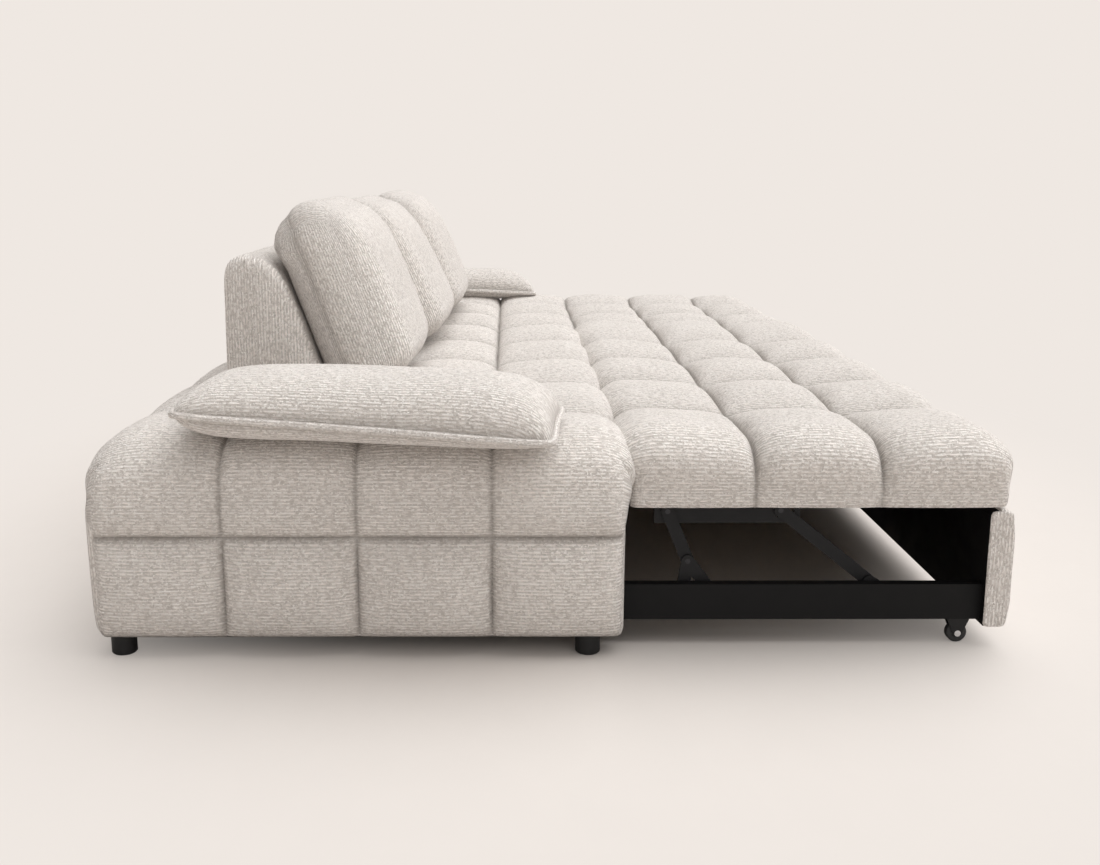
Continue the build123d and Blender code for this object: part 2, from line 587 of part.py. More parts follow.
lift = {name: [] for name in ("brackets", "bracket_pins", "top_bars", "seat_pins", "arm_pins")}
for name, face, inward in (("near", RAIL_NEAR + RAIL, 1), ("far", RAIL_FAR - RAIL, -1)):
    plate = face + inward * BRACKET_PLATE
    arm_low = plate + inward * LIFT_GAP
    arm_high = arm_low + inward * ARM_PLATE
    bar_low = arm_high + inward * 2 * LIFT_GAP
    bar_high = bar_low + inward * TOP_BAR
    pin_end = arm_high + inward * LIFT_GAP / 2
    for pivot in (REAR_PIVOT, FRONT_PIVOT):
        legs = [flat_bar(pivot, (pivot[0] + lean, BRACKET_FOOT_Z), ARM_WIDTH, face, plate)
                for lean in (ARM_WIDTH / 2, -BRACKET_SPREAD)]
        lift["brackets"].append(holed(legs[0] + legs[1], [pivot], face, plate))
        lift["bracket_pins"].append(disc(pivot, PIN_R, face, pin_end))
    rear_arm = flat_bar(REAR_PIVOT, rear_top, ARM_WIDTH, arm_low, arm_high)
    nodes["lift_arm_rear_" + name] = holed(rear_arm, [REAR_PIVOT, rear_top], arm_low, arm_high)
    front_arm = flat_bar(FRONT_PIVOT, front_top, ARM_WIDTH, arm_low, arm_high)
    nodes["lift_arm_front_" + name] = holed(front_arm, [FRONT_PIVOT, front_top], arm_low, arm_high)
    web_x = sorted((bar_low, bar_high))
    flange_x = sorted((bar_high, bar_high + inward * TOP_BAR_FLANGE))
    bar = block((web_x[0], bar_front, bar_bottom), (web_x[1], bar_rear, SLAT_BASE))
    bar -= block((web_x[0], *slot_low), (web_x[1], *slot_high))
    bar += block((flange_x[0], bar_front, SLAT_BASE - TOP_BAR), (flange_x[1], bar_rear, SLAT_BASE))
    lift["top_bars"].append(holed(bar, [rear_top], bar_low, bar_high))
    lift["seat_pins"].append(disc(rear_top, PIN_R, arm_low, bar_high))
    lift["arm_pins"].append(disc(front_top, PIN_R, arm_low, bar_high))
nodes["lift_brackets"] = group(lift["brackets"])
nodes["lift_bracket_pins"] = group(lift["bracket_pins"])
nodes["bed_top_bars"] = group(lift["top_bars"])
nodes["bed_pins"] = group(lift["seat_pins"])
nodes["front_arm_pins"] = group(lift["arm_pins"])

# Backrests
rest_z = SEAT_TOP + REST_GAP
rest_rear = BACK - BACKREST_SETBACK
rest_head_z = rest_z + BACKREST_HEIGHT
head_drop = BACKREST_HEAD / 2
rest_side = [
    Line((rest_rear, rest_z), (rest_rear, rest_head_z - head_drop)),
    ThreePointArc((rest_rear, rest_head_z - head_drop), (rest_rear - head_drop, rest_head_z),
                  (rest_rear - BACKREST_HEAD, rest_head_z - head_drop)),
    Line((rest_rear - BACKREST_HEAD, rest_head_z - head_drop), (rest_rear - BACKREST_FOOT, rest_z)),
    Line((rest_rear - BACKREST_FOOT, rest_z), (rest_rear, rest_z)),
]
rest_width = BACKREST_PITCH - BACKREST_GAP
rest_pad = prism(rest_side, across_x(0), rest_width)
end_arc_low = rest_rear - BACKREST_FOOT - BACKREST_END_CROWN
end_arc_high = rest_rear + BACKREST_END_CROWN
end_arc_mid = (end_arc_low + end_arc_high) / 2
end_inner = rest_width - BACKREST_END_CROWN
rest_plan = [
    Line((BACKREST_END_CROWN, end_arc_high), (end_inner, end_arc_high)),
    ThreePointArc((end_inner, end_arc_high), (rest_width, end_arc_mid), (end_inner, end_arc_low)),
    Line((end_inner, end_arc_low), (BACKREST_END_CROWN, end_arc_low)),
    ThreePointArc((BACKREST_END_CROWN, end_arc_low), (0, end_arc_mid), (BACKREST_END_CROWN, end_arc_high)),
]
plan_base = Plane.XY.offset(rest_z - BACKREST_END_CROWN)
rest_pad &= prism(rest_plan, plan_base, BACKREST_HEIGHT + 2 * BACKREST_END_CROWN)
board_mid = rest_rear - head_drop
board_end = rest_width - BACKREST_BOARD_MARGIN
rest_board = block((BACKREST_BOARD_MARGIN, board_mid - BACKREST_BOARD / 2, rest_z),
                   (board_end, board_mid + BACKREST_BOARD / 2, rest_z + BACKREST_BOARD_HEIGHT))
rest_pad -= rest_board


# Loose cushions
def lens(half_width, low, high, edge, sag):
    """Closed outline of a plump cushion: two broad faces and two narrow rounded borders."""
    border = half_width * edge
    left = [(-border, low + sag), (-half_width, (low + high) / 2), (-border, high - sag)]
    right = [(-x, z) for x, z in left]
    top = [left[2], (0, high), right[2]]
    bottom = [left[0], (0, low), right[0]]
    return [ThreePointArc(*points) for points in (left, top, right, bottom)]


def pillow_outline(half_width, low, high, corner, pull):
    """Rounded rectangle whose sides are drawn in between the corners."""
    diagonal = corner * (1 - sin(radians(45)))
    edges = []
    for s in (-1, 1):
        side = s * half_width
        inner = s * (half_width - corner)
        waist = (side - s * pull, (low + high) / 2)
        edges.append(ThreePointArc((side, low + corner), waist, (side, high - corner)))
        for z, t in ((low, 1), (high, -1)):
            bend = (side - s * diagonal, z + t * diagonal)
            edges.append(ThreePointArc((inner, z), bend, (side, z + t * corner)))
    for z, t in ((low, 1), (high, -1)):
        edges.append(ThreePointArc((corner - half_width, z), (0, z + t * pull / 2), (half_width - corner, z)))
    return edges


def back_cushion():
    """Upright cushion on the XZ plane, its foot at Z = 0 and its broad faces towards -Y and +Y."""
    width = BACKREST_PITCH - BACK_CUSHION_GAP
    thick, height = BACK_CUSHION_THICK, BACK_CUSHION_HEIGHT
    spare = BACK_CUSHION_PULL
    bulge = lens(thick / 2 + CROWN_LIFT, -CROWN_LIFT, height + CROWN_LIFT, BACK_CUSHION_BORDER,
                 BACK_CUSHION_ROUND)
    plump = prism(bulge, across_x(-width / 2 - spare), width + 2 * spare)
    outline = pillow_outline(width / 2, 0, height, BACK_CUSHION_CORNER, BACK_CUSHION_PULL)
    plump &= prism(outline, across_y(thick), 2 * thick)
    ends = lens(thick / 2, -width / 2 - CROWN_LIFT, width / 2 + CROWN_LIFT, BACK_CUSHION_END_BORDER,
                BACK_CUSHION_END_ROUND)
    plan = [edge.rotate(Axis.Z, 90) for edge in ends]
    return plump & prism(plan, Plane.XY.offset(-spare), height + 2 * spare)


def leant(cushion, backrest):
    """Cushion moved back until it lies against its backrest."""
    for _ in range(SETTLE_STEPS):
        cushion = Pos(0, cushion.distance_to(backrest) - REST_GAP, 0) * cushion
    return cushion


for i, (forward, lean) in enumerate(zip(BACKREST_FORWARD, BACK_CUSHION_LEAN)):
    place = Pos(NEAR + BACKREST_START + i * BACKREST_PITCH + BACKREST_GAP / 2, -forward, 0)
    leaning = Rot(-lean, 0, 0) * back_cushion()
    foot_y = rest_rear - BACKREST_FOOT - BACK_CUSHION_AHEAD
    foot_z = SEAT_TOP + REST_GAP - leaning.bounding_box().min.Z
    ahead = place * Pos(rest_width / 2, foot_y, foot_z) * leaning
    nodes[f"backrest_pad_{i + 1}"] = place * rest_pad
    nodes[f"backrest_board_{i + 1}"] = place * rest_board
    nodes[f"back_cushion_{i + 1}"] = leant(ahead, nodes[f"backrest_pad_{i + 1}"])


def arm_section(half, height):
    """Section of an arm cushion: flat base, lower swell to the seam, shoulders and a crowned top."""
    foot = half - ARM_CUSHION_FOOT
    shoulder = half - ARM_CUSHION_SHOULDER
    fall = height - ARM_CUSHION_CREST_FALL
    edges = [Line((-foot, 0), (foot, 0)), ThreePointArc((-shoulder, fall), (0, height), (shoulder, fall))]
    for s in (-1, 1):
        seam = (s * half, ARM_CUSHION_SEAM)
        edges.append(TangentArc((s * foot, 0), seam, tangent=(s, 0)))
        edges.append(TangentArc(seam, (s * shoulder, fall), tangent=(0, 1)))
    return edges


def arm_cushion():
    """Long cushion, piped round its seam and drawn in between its corners."""
    width, length, height = ARM_CUSHION
    half = width / 2 + ARM_CUSHION_PIPING
    half_length = length / 2 + ARM_CUSHION_PIPING
    solid = prism(arm_section(half, height), across_y(half_length), 2 * half_length)
    solid &= prism(arm_section(half_length, height + CROWN_LIFT), across_x(-half), 2 * half)
    outline = pillow_outline(width / 2, -length / 2, length / 2, ARM_CUSHION_CORNER, ARM_CUSHION_PULL)
    return solid & prism(outline, Plane.XY, height)


def arm_cushion_at(end, row):
    """Arm cushion at one end of the sofa, turned out at the front and tipped on the slope of the end row."""
    run = row / 2 - EDGE_ROUND
    round_r = (run ** 2 + EDGE_FALL ** 2) / (2 * EDGE_FALL)
    touch = LENGTH / 2 - row / 2 + round_r * sin(radians(ARM_CUSHION_TILT))
    touch_z = SEAT_TOP - round_r * (1 - cos(radians(ARM_CUSHION_TILT)))
    centre = LENGTH / 2 + ARM_CUSHION_OVERHANG - ARM_CUSHION[0] / 2
    turned = Rot(0, 0, end * ARM_CUSHION_TURN) * arm_cushion()
    tipped = Rot(0, end * ARM_CUSHION_TILT, 0) * Pos(end * (centre - touch), 0, REST_GAP) * turned
    return Pos(end * touch, BACK - ARM_CUSHION_R, touch_z) * tipped


nodes["arm_cushion_near"] = arm_cushion_at(-1, main_stops[1])
nodes["arm_cushion_far"] = arm_cushion_at(1, chaise_rows[1])

os.makedirs("parts", exist_ok=True)
for name, shape in nodes.items():
    export_step(shape, f"parts/{name}.step")
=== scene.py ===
"""Corner sofa bed: tufted covers, loose cushions, finishes and stage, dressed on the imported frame."""

import math

import bpy
import numpy as np
from bpy.props import FloatProperty, FloatVectorProperty, PointerProperty
from mathutils import Euler, Matrix, Vector, noise
from mathutils.bvhtree import BVHTree


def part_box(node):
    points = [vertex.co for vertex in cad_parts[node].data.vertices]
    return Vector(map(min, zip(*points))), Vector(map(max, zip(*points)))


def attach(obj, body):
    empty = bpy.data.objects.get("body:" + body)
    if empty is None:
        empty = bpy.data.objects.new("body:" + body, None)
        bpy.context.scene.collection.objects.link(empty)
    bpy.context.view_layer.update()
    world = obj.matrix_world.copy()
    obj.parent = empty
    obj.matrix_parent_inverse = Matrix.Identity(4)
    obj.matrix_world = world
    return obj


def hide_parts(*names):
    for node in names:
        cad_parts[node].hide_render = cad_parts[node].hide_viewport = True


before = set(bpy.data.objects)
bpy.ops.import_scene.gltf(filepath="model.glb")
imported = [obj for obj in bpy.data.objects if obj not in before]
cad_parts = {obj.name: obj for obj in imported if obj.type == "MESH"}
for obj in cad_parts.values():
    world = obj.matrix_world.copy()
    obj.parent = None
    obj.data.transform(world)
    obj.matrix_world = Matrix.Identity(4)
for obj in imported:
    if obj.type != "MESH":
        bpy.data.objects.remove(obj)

bl_info = {
    "name": "Corner Sofa Bed",
    "version": (1, 0, 0),
    "blender": (4, 5, 0),
    "location": "View3D > Sidebar > Sofa",
    "description": "Dresses the frame of a corner sofa bed in tufted covers and loose cushions",
    "category": "Object",
}


def clear_default_objects():
    """Removes the objects of the start-up file, so that only the frame is left."""
    for name in ("Cube", "Light", "Camera"):
        stray = bpy.data.objects.get(name)
        if stray is not None:
            bpy.data.objects.remove(stray)


clear_default_objects()
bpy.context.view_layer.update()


def joint_box(*nodes):
    """Lowest and highest corner of several nodes together, as arrays."""
    boxes = [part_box(node) for node in nodes]
    low = np.min([np.array(box[0]) for box in boxes], axis=0)
    high = np.max([np.array(box[1]) for box in boxes], axis=0)
    return low, high


# Places read from the frame
MAIN_LOW, MAIN_HIGH = joint_box("main_seat_pad", "near_end_panel", "main_rear_cover")
CHAISE_LOW, CHAISE_HIGH = joint_box("chaise_seat_pad", "chaise_front_panel", "chaise_end_panel",
                                    "chaise_rear_cover")
BED_LOW, BED_HIGH = joint_box("bed_pad", "bed_skirts")
PANEL_LOW, PANEL_HIGH = joint_box("front_panel_pad")
BAND_LOW, BAND_HIGH = joint_box("main_front_band")
LINING_LOW, LINING_HIGH = joint_box("chaise_inner_lining")
NEAR_BOARD_END = joint_box("near_side_board")[1][0]
SEAT_BASE = float(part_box("main_seat_pad")[0].z)

# Counts of cushions and tufts
SEATS = (1, 2, 3)
ENDS = ("near", "far")
MAIN_ROWS = 5
CHAISE_ROWS = 3
PLATFORM_COLUMNS = 4
BED_COLUMNS = 3

# Covers: sizes in metres
CLOTH = 0.0015
CLOTH_BACKED = 0.004
END_SEAM = 0.247
TURN_UNDER = 0.055
HEM_UNDER = 0.030
BUTT_RADIUS = 0.012
BUTT_RISE = 0.002
FACE_INSET = 0.018
REAR_INSET = 0.006
SINK = 0.018
SEAM_BLEND = 0.085
# The seam width here and the valley width below set how far the seam colour spreads from a seam: painted
# shade in the seam and in the valley between tufts.
SEAM_SHADE_WIDTH = 0.006
SEAM_LEAST_RISE = 0.01
CREASE_WIDTH = 0.006
GATHER_WIDTH = 0.035
VALLEY_SHADE_WIDTH = 0.04
TUFT_HALF_MOST = 0.19
TUFT_ROLL = 0.05
EDGE_REACH = 0.24
BED_INSET = -0.006
BED_NEAR_RISE = 0.010
BED_FRONT_RISE = 0.004
BED_SEAM_BELOW = 0.02
PRESS_REACH = 0.03

# Covers: shares, mesh steps between seams along each axis, and noise
CORNER_PULL = 0.3
CORNER_SHARE = 0.4
# Seam darkness and the row and column valleys: strength of the seam colour painted along seams (the pile's
# parting with painted shade) and of the painted shade in the valleys between tufts, which fades on upright
# faces.
SEAM_SHADE = 0.5
ROW_VALLEY_SHADE = 0.40
COLUMN_VALLEY_SHADE = 0.10
FACE_VALLEY_SHADE_FADE = 0.7
ROW_ROLL_SHARE = 0.26
COLUMN_ROLL_SHARE = 0.58
FACE_ROLL_SHARE = 0.6
EDGE_EASE = 0.8
REAR_ROUND = 0.9
FRONT_ROUND = 0.5
BED_FAR_ROUND = 0.5
BED_FRONT_ROUND = 1.05
BED_REAR_ROUND = 0.6
BED_CORNER = 0.6
TUFT_STEPS = (20, 18, 12)
GATHER_SCALE = 42
SLACK_SCALE = 6.5
SLACK_SHIFT = 7.3
TINY = 1e-9

# Sewn ridges and piping: steps, and how far off a seam is looked for, in metres
CORD_SIDES = 8
SEAM_STEPS = 30
SEAM_EYE = 0.2

# Pads of the backrests and the front panel: sizes in metres, shares and mesh steps
PAD_UNEVEN = 0.003
PAD_NOISE = 8
PAD_NOISE_SHIFT = 2.7
PAD_STILL_FOOT = 0.9
PAD_LENGTHS = 30
SECTION_POINTS = 84
SECTION_LEG = 0.45
SECTION_STEPS = 7
CAP_SHARES = np.linspace(0.1, 0.9, 9)
CAP_ANGLES = np.linspace(0, math.pi / 2, 8)
PANEL_FORWARD = 0.004
PANEL_BOW = 0.006
PANEL_EASE = 0.05
PANEL_ROUND = 0.010
PANEL_EDGE = 0.008
PANEL_CROWN = 0.002
WRAP_BEHIND = 0.003
WRAP_OUT = 0.010
WRAP_GAP = 0.001
WRAP_EDGE = 0.004
WRAP_CROWN = 0.001
WRAP_LENGTHS = 4
BACKREST_HEAD = ((0.0, 0.025), (0.035, 0.0), (0.085, 0.004), (0.135, 0.045))
BACKREST_FOOT = ((0.0, 0.03), (0.004, 0.0))
BACKREST_ROUND = 0.05
BACKREST_EDGE = 0.030
BACKREST_CROWN = 0.008
BACKREST_SEAM_HEAD = (0.055, 0.012)
BACKREST_SEAM_FOOT = (0.085, 0.004)

# Back cushions: sizes in metres, powers, shares and mesh steps
BACK_CROWN = 0.024
BACK_BULGE = 0.014
BACK_OVERHANG = 0.024
BACK_SWELL = 0.008
# Back seam width: spread of the painted shade along the sewn seam.
BACK_SEAM_SHADE_WIDTH = 0.011
BACK_DENT = 0.006
BACK_DENT_WIDTH = 0.010
BACK_LOW_RADII = (0.095, 0.104, 0.055)
BACK_HIGH_RADII = (0.095, 0.084, 0.165)
BACK_ACROSS_POWER = 2.6
BACK_UP_POWER = 2.4
BACK_FULL_BELOW = 0.3
BACK_NIP = 0.018
BACK_FRONT_FACE = -0.99
BACK_FRONT_AWAY = 0.2
OVERHANG_START = 0.35
OVERHANG_SPAN = 0.45
BACK_COLUMNS = 52
BACK_LAYERS = 14
BACK_ROWS = 36
BACK_SEAM_LAYER = 10
BACK_SEAM_SHARE = (BACK_SEAM_LAYER - BACK_LAYERS / 2) / (BACK_LAYERS / 2)

# Folds of a back cushion: stretch, shift from seat to seat, noise scale and height
BACK_FOLDS = (((1.0, 1.0, 0.6), 3.1, 9, 0.0035), ((2.4, 1.0, 0.7), 1.0, 24, 0.0010))
BACK_GATHERS = ((1.0, 0.35, 1.0), 1.7, 36, 0.003)

# Arm cushions: sizes in metres, powers, shares and mesh lines
ARM_PULL = 0.010
ARM_END_PULL = 0.6
ARM_TIP = 0.014
ARM_TIP_POWER = 8
ARM_UPPER_POWERS = (2.8, 6.0)
ARM_LOWER_POWERS = (4.0, 8.0)
ARM_SEAM_RISE = 0.018
# Arm seam width: spread of the painted shade beside the piping.
ARM_SEAM_SHADE_WIDTH = 0.004
ARM_SINKS = (0.0, 0.016)
ARM_UNEVEN = 0.0022
ARM_NOISE = 7
ARM_NOISE_SHIFT = 2.0
ARM_COLUMNS = 39
ARM_ROWS = 65
PIPING_OUT = 0.004

# Linings: sizes in metres and mesh steps
LINING_THICK = 0.002
LINING_SAG = 0.0012
LINING_UNEVEN = 0.0010
LINING_EDGE = 0.03
LINING_NOISE = 11
LINING_RISES = 12
BAND_DEPTH = 0.035
CHAISE_LINING_STEPS = 48
BAND_STEPS = 90
REAR_LINING_STEPS = 60

# Chenille: noise scales, the step from rib to rib, the range of each mask and the share of fleck
WAVER_SCALE = (16, 34, 1)
SPECK_SCALE = (190, 260, 1)
SLUB_SCALE = (70, 210, 1)
PATCH_SCALE = (9, 13, 1)
THREAD_SCALE = 130
RIB_SHIFT = 3.7
RIDGE_RANGE = (-0.9, 0.9)
DASH_RANGE = (0.47, 0.60)
SPECK_RANGE = (0.56, 0.70)
SLUB_RANGE = (0.38, 0.60)
FLECK_SHARE = 0.9

# Grain of timber and of fine finishes: noise scales, growth lines to a metre, and mask ranges
SMUDGE_SCALE = (7, 9, 8)
GRAIN_RANGE = (0.3, 0.7)
BEND_SCALE = (3, 9, 9)
PORE_SCALE = (40, 900, 900)
PORE_RANGE = (0.35, 0.7)
LAYERS_ACROSS = 70
LAYERS_UP = 95

# Stage: floor and camera in metres, with a noise scale and shares; the sensor in millimetres
FLOOR_REACH = 60.0
FLOOR_GRAIN = 60.0
FLOOR_DIM = 0.985
FLOOR_FADE = (0.9, 2.05)
FLOOR_STRETCH = (0.72, 1.0, 0.0)
SENSOR_WIDTH = 36
CAMERA_FAR = 100

# Sides of a box, as axis and end
NEAR_SIDE = (0, 0)
FAR_SIDE = (0, 1)
FRONT_SIDE = (1, 0)
REAR_SIDE = (1, 1)
UNDER_SIDE = (2, 0)
TOP_SIDE = (2, 1)


# Settings

def colour_setting(name, description, default):
    """A colour that a user may change."""
    return FloatVectorProperty(name=name, description=description, subtype="COLOR", min=0, max=1,
                               default=default)


def length_setting(name, description, default):
    """A size in metres."""
    return FloatProperty(name=name, description=description, subtype="DISTANCE", unit="LENGTH",
                         default=default)


def angle_setting(name, description, degrees):
    """An angle, given in degrees."""
    return FloatProperty(name=name, description=description, subtype="ANGLE", unit="ROTATION",
                         default=math.radians(degrees))


def point_setting(name, description, default):
    """A place, or the direction from one, in metres."""
    return FloatVectorProperty(name=name, description=description, subtype="TRANSLATION", unit="LENGTH",
                               default=default)


def number_setting(name, description, default):
    """A plain number."""
    return FloatProperty(name=name, description=description, default=default)


class SofaFabricSettings(bpy.types.PropertyGroup):
    """Colours and sizes of the covers and cushions."""

    pile_colour: colour_setting("Pile", "Colour of the raised ribs of the chenille", (0.98, 0.92, 0.872))
    ground_colour: colour_setting("Ground", "Colour of the weave between the ribs", (0.54, 0.50, 0.466))
    # The seam colour stands for painted shade in seams and tuft valleys, with the pile's parting.
    seam_colour: colour_setting("Seam", "Colour of the parted pile in a seam", (0.30, 0.272, 0.245))
    fleck_colour: colour_setting("Fleck", "Colour of the light fibres", (1.0, 0.965, 0.925))
    rib_spacing: length_setting("Rib spacing", "Distance from rib to rib", 0.0068)
    tuft_rise: length_setting("Tuft rise", "Height of a tuft over its seams", 0.048)
    face_rise: length_setting("Face rise", "Swell of a tuft on an upright face", 0.032)
    rear_rise: length_setting("Rear rise", "Swell of the plain rear covers", 0.014)
    crease: length_setting("Crease", "Depth of the thread's pull in a seam", 0.003)
    edge_radius: length_setting("Edge radius", "Rounding of the platform's upper edges", 0.125)
    bed_radius: length_setting("Bed edge radius", "Rounding of the bed's near edge", 0.085)
    corner_radius: length_setting("Corner radius", "Rounding of the platform's upright corners", 0.022)
    hem_radius: length_setting("Hem radius", "Rounding of the lower edges", 0.014)
    pucker: length_setting("Pucker", "Height of the small gathers beside a seam", 0.0014)
    settle: length_setting("Settle", "Unevenness of the stuffing", 0.0022)
    welt_radius: length_setting("Piping radius", "Radius of the arm cushions' piping", 0.0078)
    seam_radius: length_setting("Seam radius", "Radius of the sewn ridge of a plain seam", 0.0019)


class SofaCushionSettings(bpy.types.PropertyGroup):
    """Sizes and places of the loose cushions."""

    back_thickness: length_setting("Back thickness", "Thickness of a back cushion at its fullest", 0.196)
    back_height: length_setting("Back height", "Height of a back cushion along its lean", 0.44)
    back_lean: FloatVectorProperty(
        name="Back lean", description="Lean of each back cushion from upright", subtype="EULER",
        unit="ROTATION", default=(math.radians(20), math.radians(25), math.radians(22)))
    arm_size: FloatVectorProperty(
        name="Arm cushion", description="Width, length and height of an arm cushion", subtype="XYZ",
        unit="LENGTH", default=(0.296, 0.721, 0.124))
    arm_seam: length_setting("Arm seam height", "Height of the piped seam over the cushion's base", 0.042)
    arm_turn: angle_setting("Arm turn", "Turn of an arm cushion, out at the front", 6)
    arm_tilt: angle_setting("Arm tilt", "Tilt of an arm cushion on the seat's end row", 3)


class SofaStageSettings(bpy.types.PropertyGroup):
    """Floor, light and camera."""

    floor_colour: colour_setting("Floor", "Colour of the floor", (0.65, 0.608, 0.573))
    backdrop_colour: colour_setting("Backdrop", "Colour seen behind the sofa", (0.863, 0.807, 0.761))
    sky_strength: number_setting("Sky strength", "Strength of the even light from all round", 0.35)
    rear_source: point_setting("Rear light", "Direction that the rear light comes from", (1.0, -1.7, 3.6))
    rear_strength: number_setting("Rear strength", "Strength of the rear light", 3.3)
    front_source: point_setting("Front light", "Direction that the front light comes from", (-3.2, -0.6, 2.2))
    front_strength: number_setting("Front strength", "Strength of the front light", 0.66)
    lamp_spread: angle_setting("Spread", "Width of each light as seen from the sofa", 72)
    camera_place: point_setting("Camera place", "Where the camera stands", (-3.681, 0.0904, 0.9449))
    camera_pitch: angle_setting("Camera pitch", "How far the camera looks down", 12.138)
    camera_yaw: angle_setting("Camera yaw", "Turn of the camera from the sofa's length", 0.14)
    camera_lens: number_setting("Camera lens", "Focal length on a 36 mm wide sensor, in millimetres", 39.98)
    camera_shift: number_setting("Camera shift", "Sideways shift of the frame, in frame widths", 0.0351)


# Node wiring

class Wiring:
    """Adds and links nodes of one node tree."""

    def __init__(self, tree):
        self.tree = tree

    def add(self, kind, inputs=None, **values):
        """A node with its values set and its inputs linked or set by name."""
        node = self.tree.nodes.new(kind)
        for name, value in values.items():
            setattr(node, name, value)
        for name, value in (inputs or {}).items():
            self.feed(node.inputs[name], value)
        return node

    def feed(self, socket, value):
        """Links an output to a socket, or sets the socket to a plain value."""
        if isinstance(value, bpy.types.NodeSocket):
            self.tree.links.new(value, socket)
        else:
            socket.default_value = value

    def maths(self, operation, *values):
        """Output of a Math node."""
        node = self.tree.nodes.new("ShaderNodeMath")
        node.operation = operation
        for socket, value in zip(node.inputs, values):
            self.feed(socket, value)
        return node.outputs[0]

    def scaled(self, vector, scale):
        """The vector with its parts multiplied by three numbers."""
        node = self.tree.nodes.new("ShaderNodeVectorMath")
        node.operation = "MULTIPLY"
        self.feed(node.inputs[0], vector)
        node.inputs[1].default_value = scale
        return node.outputs[0]

    def speckle(self, vector, detail=2.0, roughness=0.5):
        """Value of a noise texture at unit scale."""
        inputs = {"Vector": vector, "Scale": 1.0, "Detail": detail, "Roughness": roughness}
        return self.add("ShaderNodeTexNoise", inputs).outputs["Fac"]

    def ramp(self, value, low, high, to_low=0.0, to_high=1.0):
        """The value mapped smoothly from one range to another."""
        inputs = {"Value": value, "From Min": low, "From Max": high, "To Min": to_low, "To Max": to_high}
        return self.add("ShaderNodeMapRange", inputs, interpolation_type="SMOOTHSTEP").outputs["Result"]

    def mixed(self, factor, first, second):
        """Colour between two colours."""
        node = self.tree.nodes.new("ShaderNodeMix")
        node.data_type = "RGBA"
        self.feed(node.inputs[0], factor)
        self.feed(node.inputs[6], first)
        self.feed(node.inputs[7], second)
        return node.outputs[2]


def node_group(name, inputs, outputs):
    """An empty node group with float sockets, and a vector socket first; returns group, wiring, ends."""
    group = bpy.data.node_groups.new(name, "ShaderNodeTree")
    group.interface.new_socket(name="Vector", in_out="INPUT", socket_type="NodeSocketVector")
    for label, default in inputs:
        socket = group.interface.new_socket(name=label, in_out="INPUT", socket_type="NodeSocketFloat")
        socket.default_value = default
    for label in outputs:
        group.interface.new_socket(name=label, in_out="OUTPUT", socket_type="NodeSocketFloat")
    wiring = Wiring(group)
    start = wiring.add("NodeGroupInput")
    end = wiring.add("NodeGroupOutput")
    return group, wiring, start.outputs, end.inputs


def ribbed_weave_group():
    """Slubby ribs: the vector's X runs along a rib and its Y across, in metres."""
    group, wiring, given, wanted = node_group(
        "RibbedWeave", [("Rib Spacing", 0.007), ("Waver", 0.5)], ["Height", "Tone", "Fleck"])
    vector = given["Vector"]
    part = wiring.add("ShaderNodeSeparateXYZ", {"Vector": vector}).outputs
    waver = wiring.speckle(wiring.scaled(vector, WAVER_SCALE), 2.0)
    drift = wiring.maths("MULTIPLY", wiring.maths("SUBTRACT", waver, 0.5), given["Waver"])
    turns = wiring.maths("ADD", wiring.maths("DIVIDE", part["Y"], given["Rib Spacing"]), drift)
    wave = wiring.maths("SINE", wiring.maths("MULTIPLY", turns, 2 * math.pi))
    ridge = wiring.ramp(wave, *RIDGE_RANGE)
    thread = wiring.add("ShaderNodeCombineXYZ")
    wiring.feed(thread.inputs["X"], wiring.maths("MULTIPLY", part["X"], THREAD_SCALE))
    wiring.feed(thread.inputs["Y"], wiring.maths("MULTIPLY", wiring.maths("FLOOR", turns), RIB_SHIFT))
    dash = wiring.ramp(wiring.speckle(thread.outputs["Vector"], 1.0), *DASH_RANGE)
    speck = wiring.ramp(wiring.speckle(wiring.scaled(vector, SPECK_SCALE), 1.0), *SPECK_RANGE)
    slub = wiring.ramp(wiring.speckle(wiring.scaled(vector, SLUB_SCALE), 3.0, 0.65), *SLUB_RANGE)
    patch = wiring.speckle(wiring.scaled(vector, PATCH_SCALE), 2.0)
    raised = wiring.maths("MULTIPLY", wiring.maths("MULTIPLY_ADD", ridge, 0.65, 0.35), slub)
    fleck = wiring.maths("MAXIMUM", wiring.maths("MULTIPLY", dash, ridge), speck)
    shade = wiring.maths("MULTIPLY_ADD", wiring.maths("SUBTRACT", patch, 0.5), 0.35, raised)
    wiring.feed(wanted["Height"], wiring.maths("MULTIPLY_ADD", fleck, 0.5, raised))
    wiring.feed(wanted["Tone"], shade)
    wiring.feed(wanted["Fleck"], fleck)
    return group


def fine_grain_group():
    """Fine speckle with slow smudges, for foil, paint, plastic and rubber."""
    group, wiring, given, wanted = node_group("FineGrain", [("Scale", 900.0)], ["Grain", "Smudge"])
    node = wiring.add("ShaderNodeVectorMath", operation="SCALE")
    wiring.feed(node.inputs[0], given["Vector"])
    wiring.feed(node.inputs["Scale"], given["Scale"])
    grain = wiring.speckle(node.outputs[0], 2.0)
    smudge = wiring.speckle(wiring.scaled(given["Vector"], SMUDGE_SCALE), 3.0, 0.6)
    wiring.feed(wanted["Grain"], wiring.ramp(grain, *GRAIN_RANGE))
    wiring.feed(wanted["Smudge"], wiring.ramp(smudge, *GRAIN_RANGE))
    return group


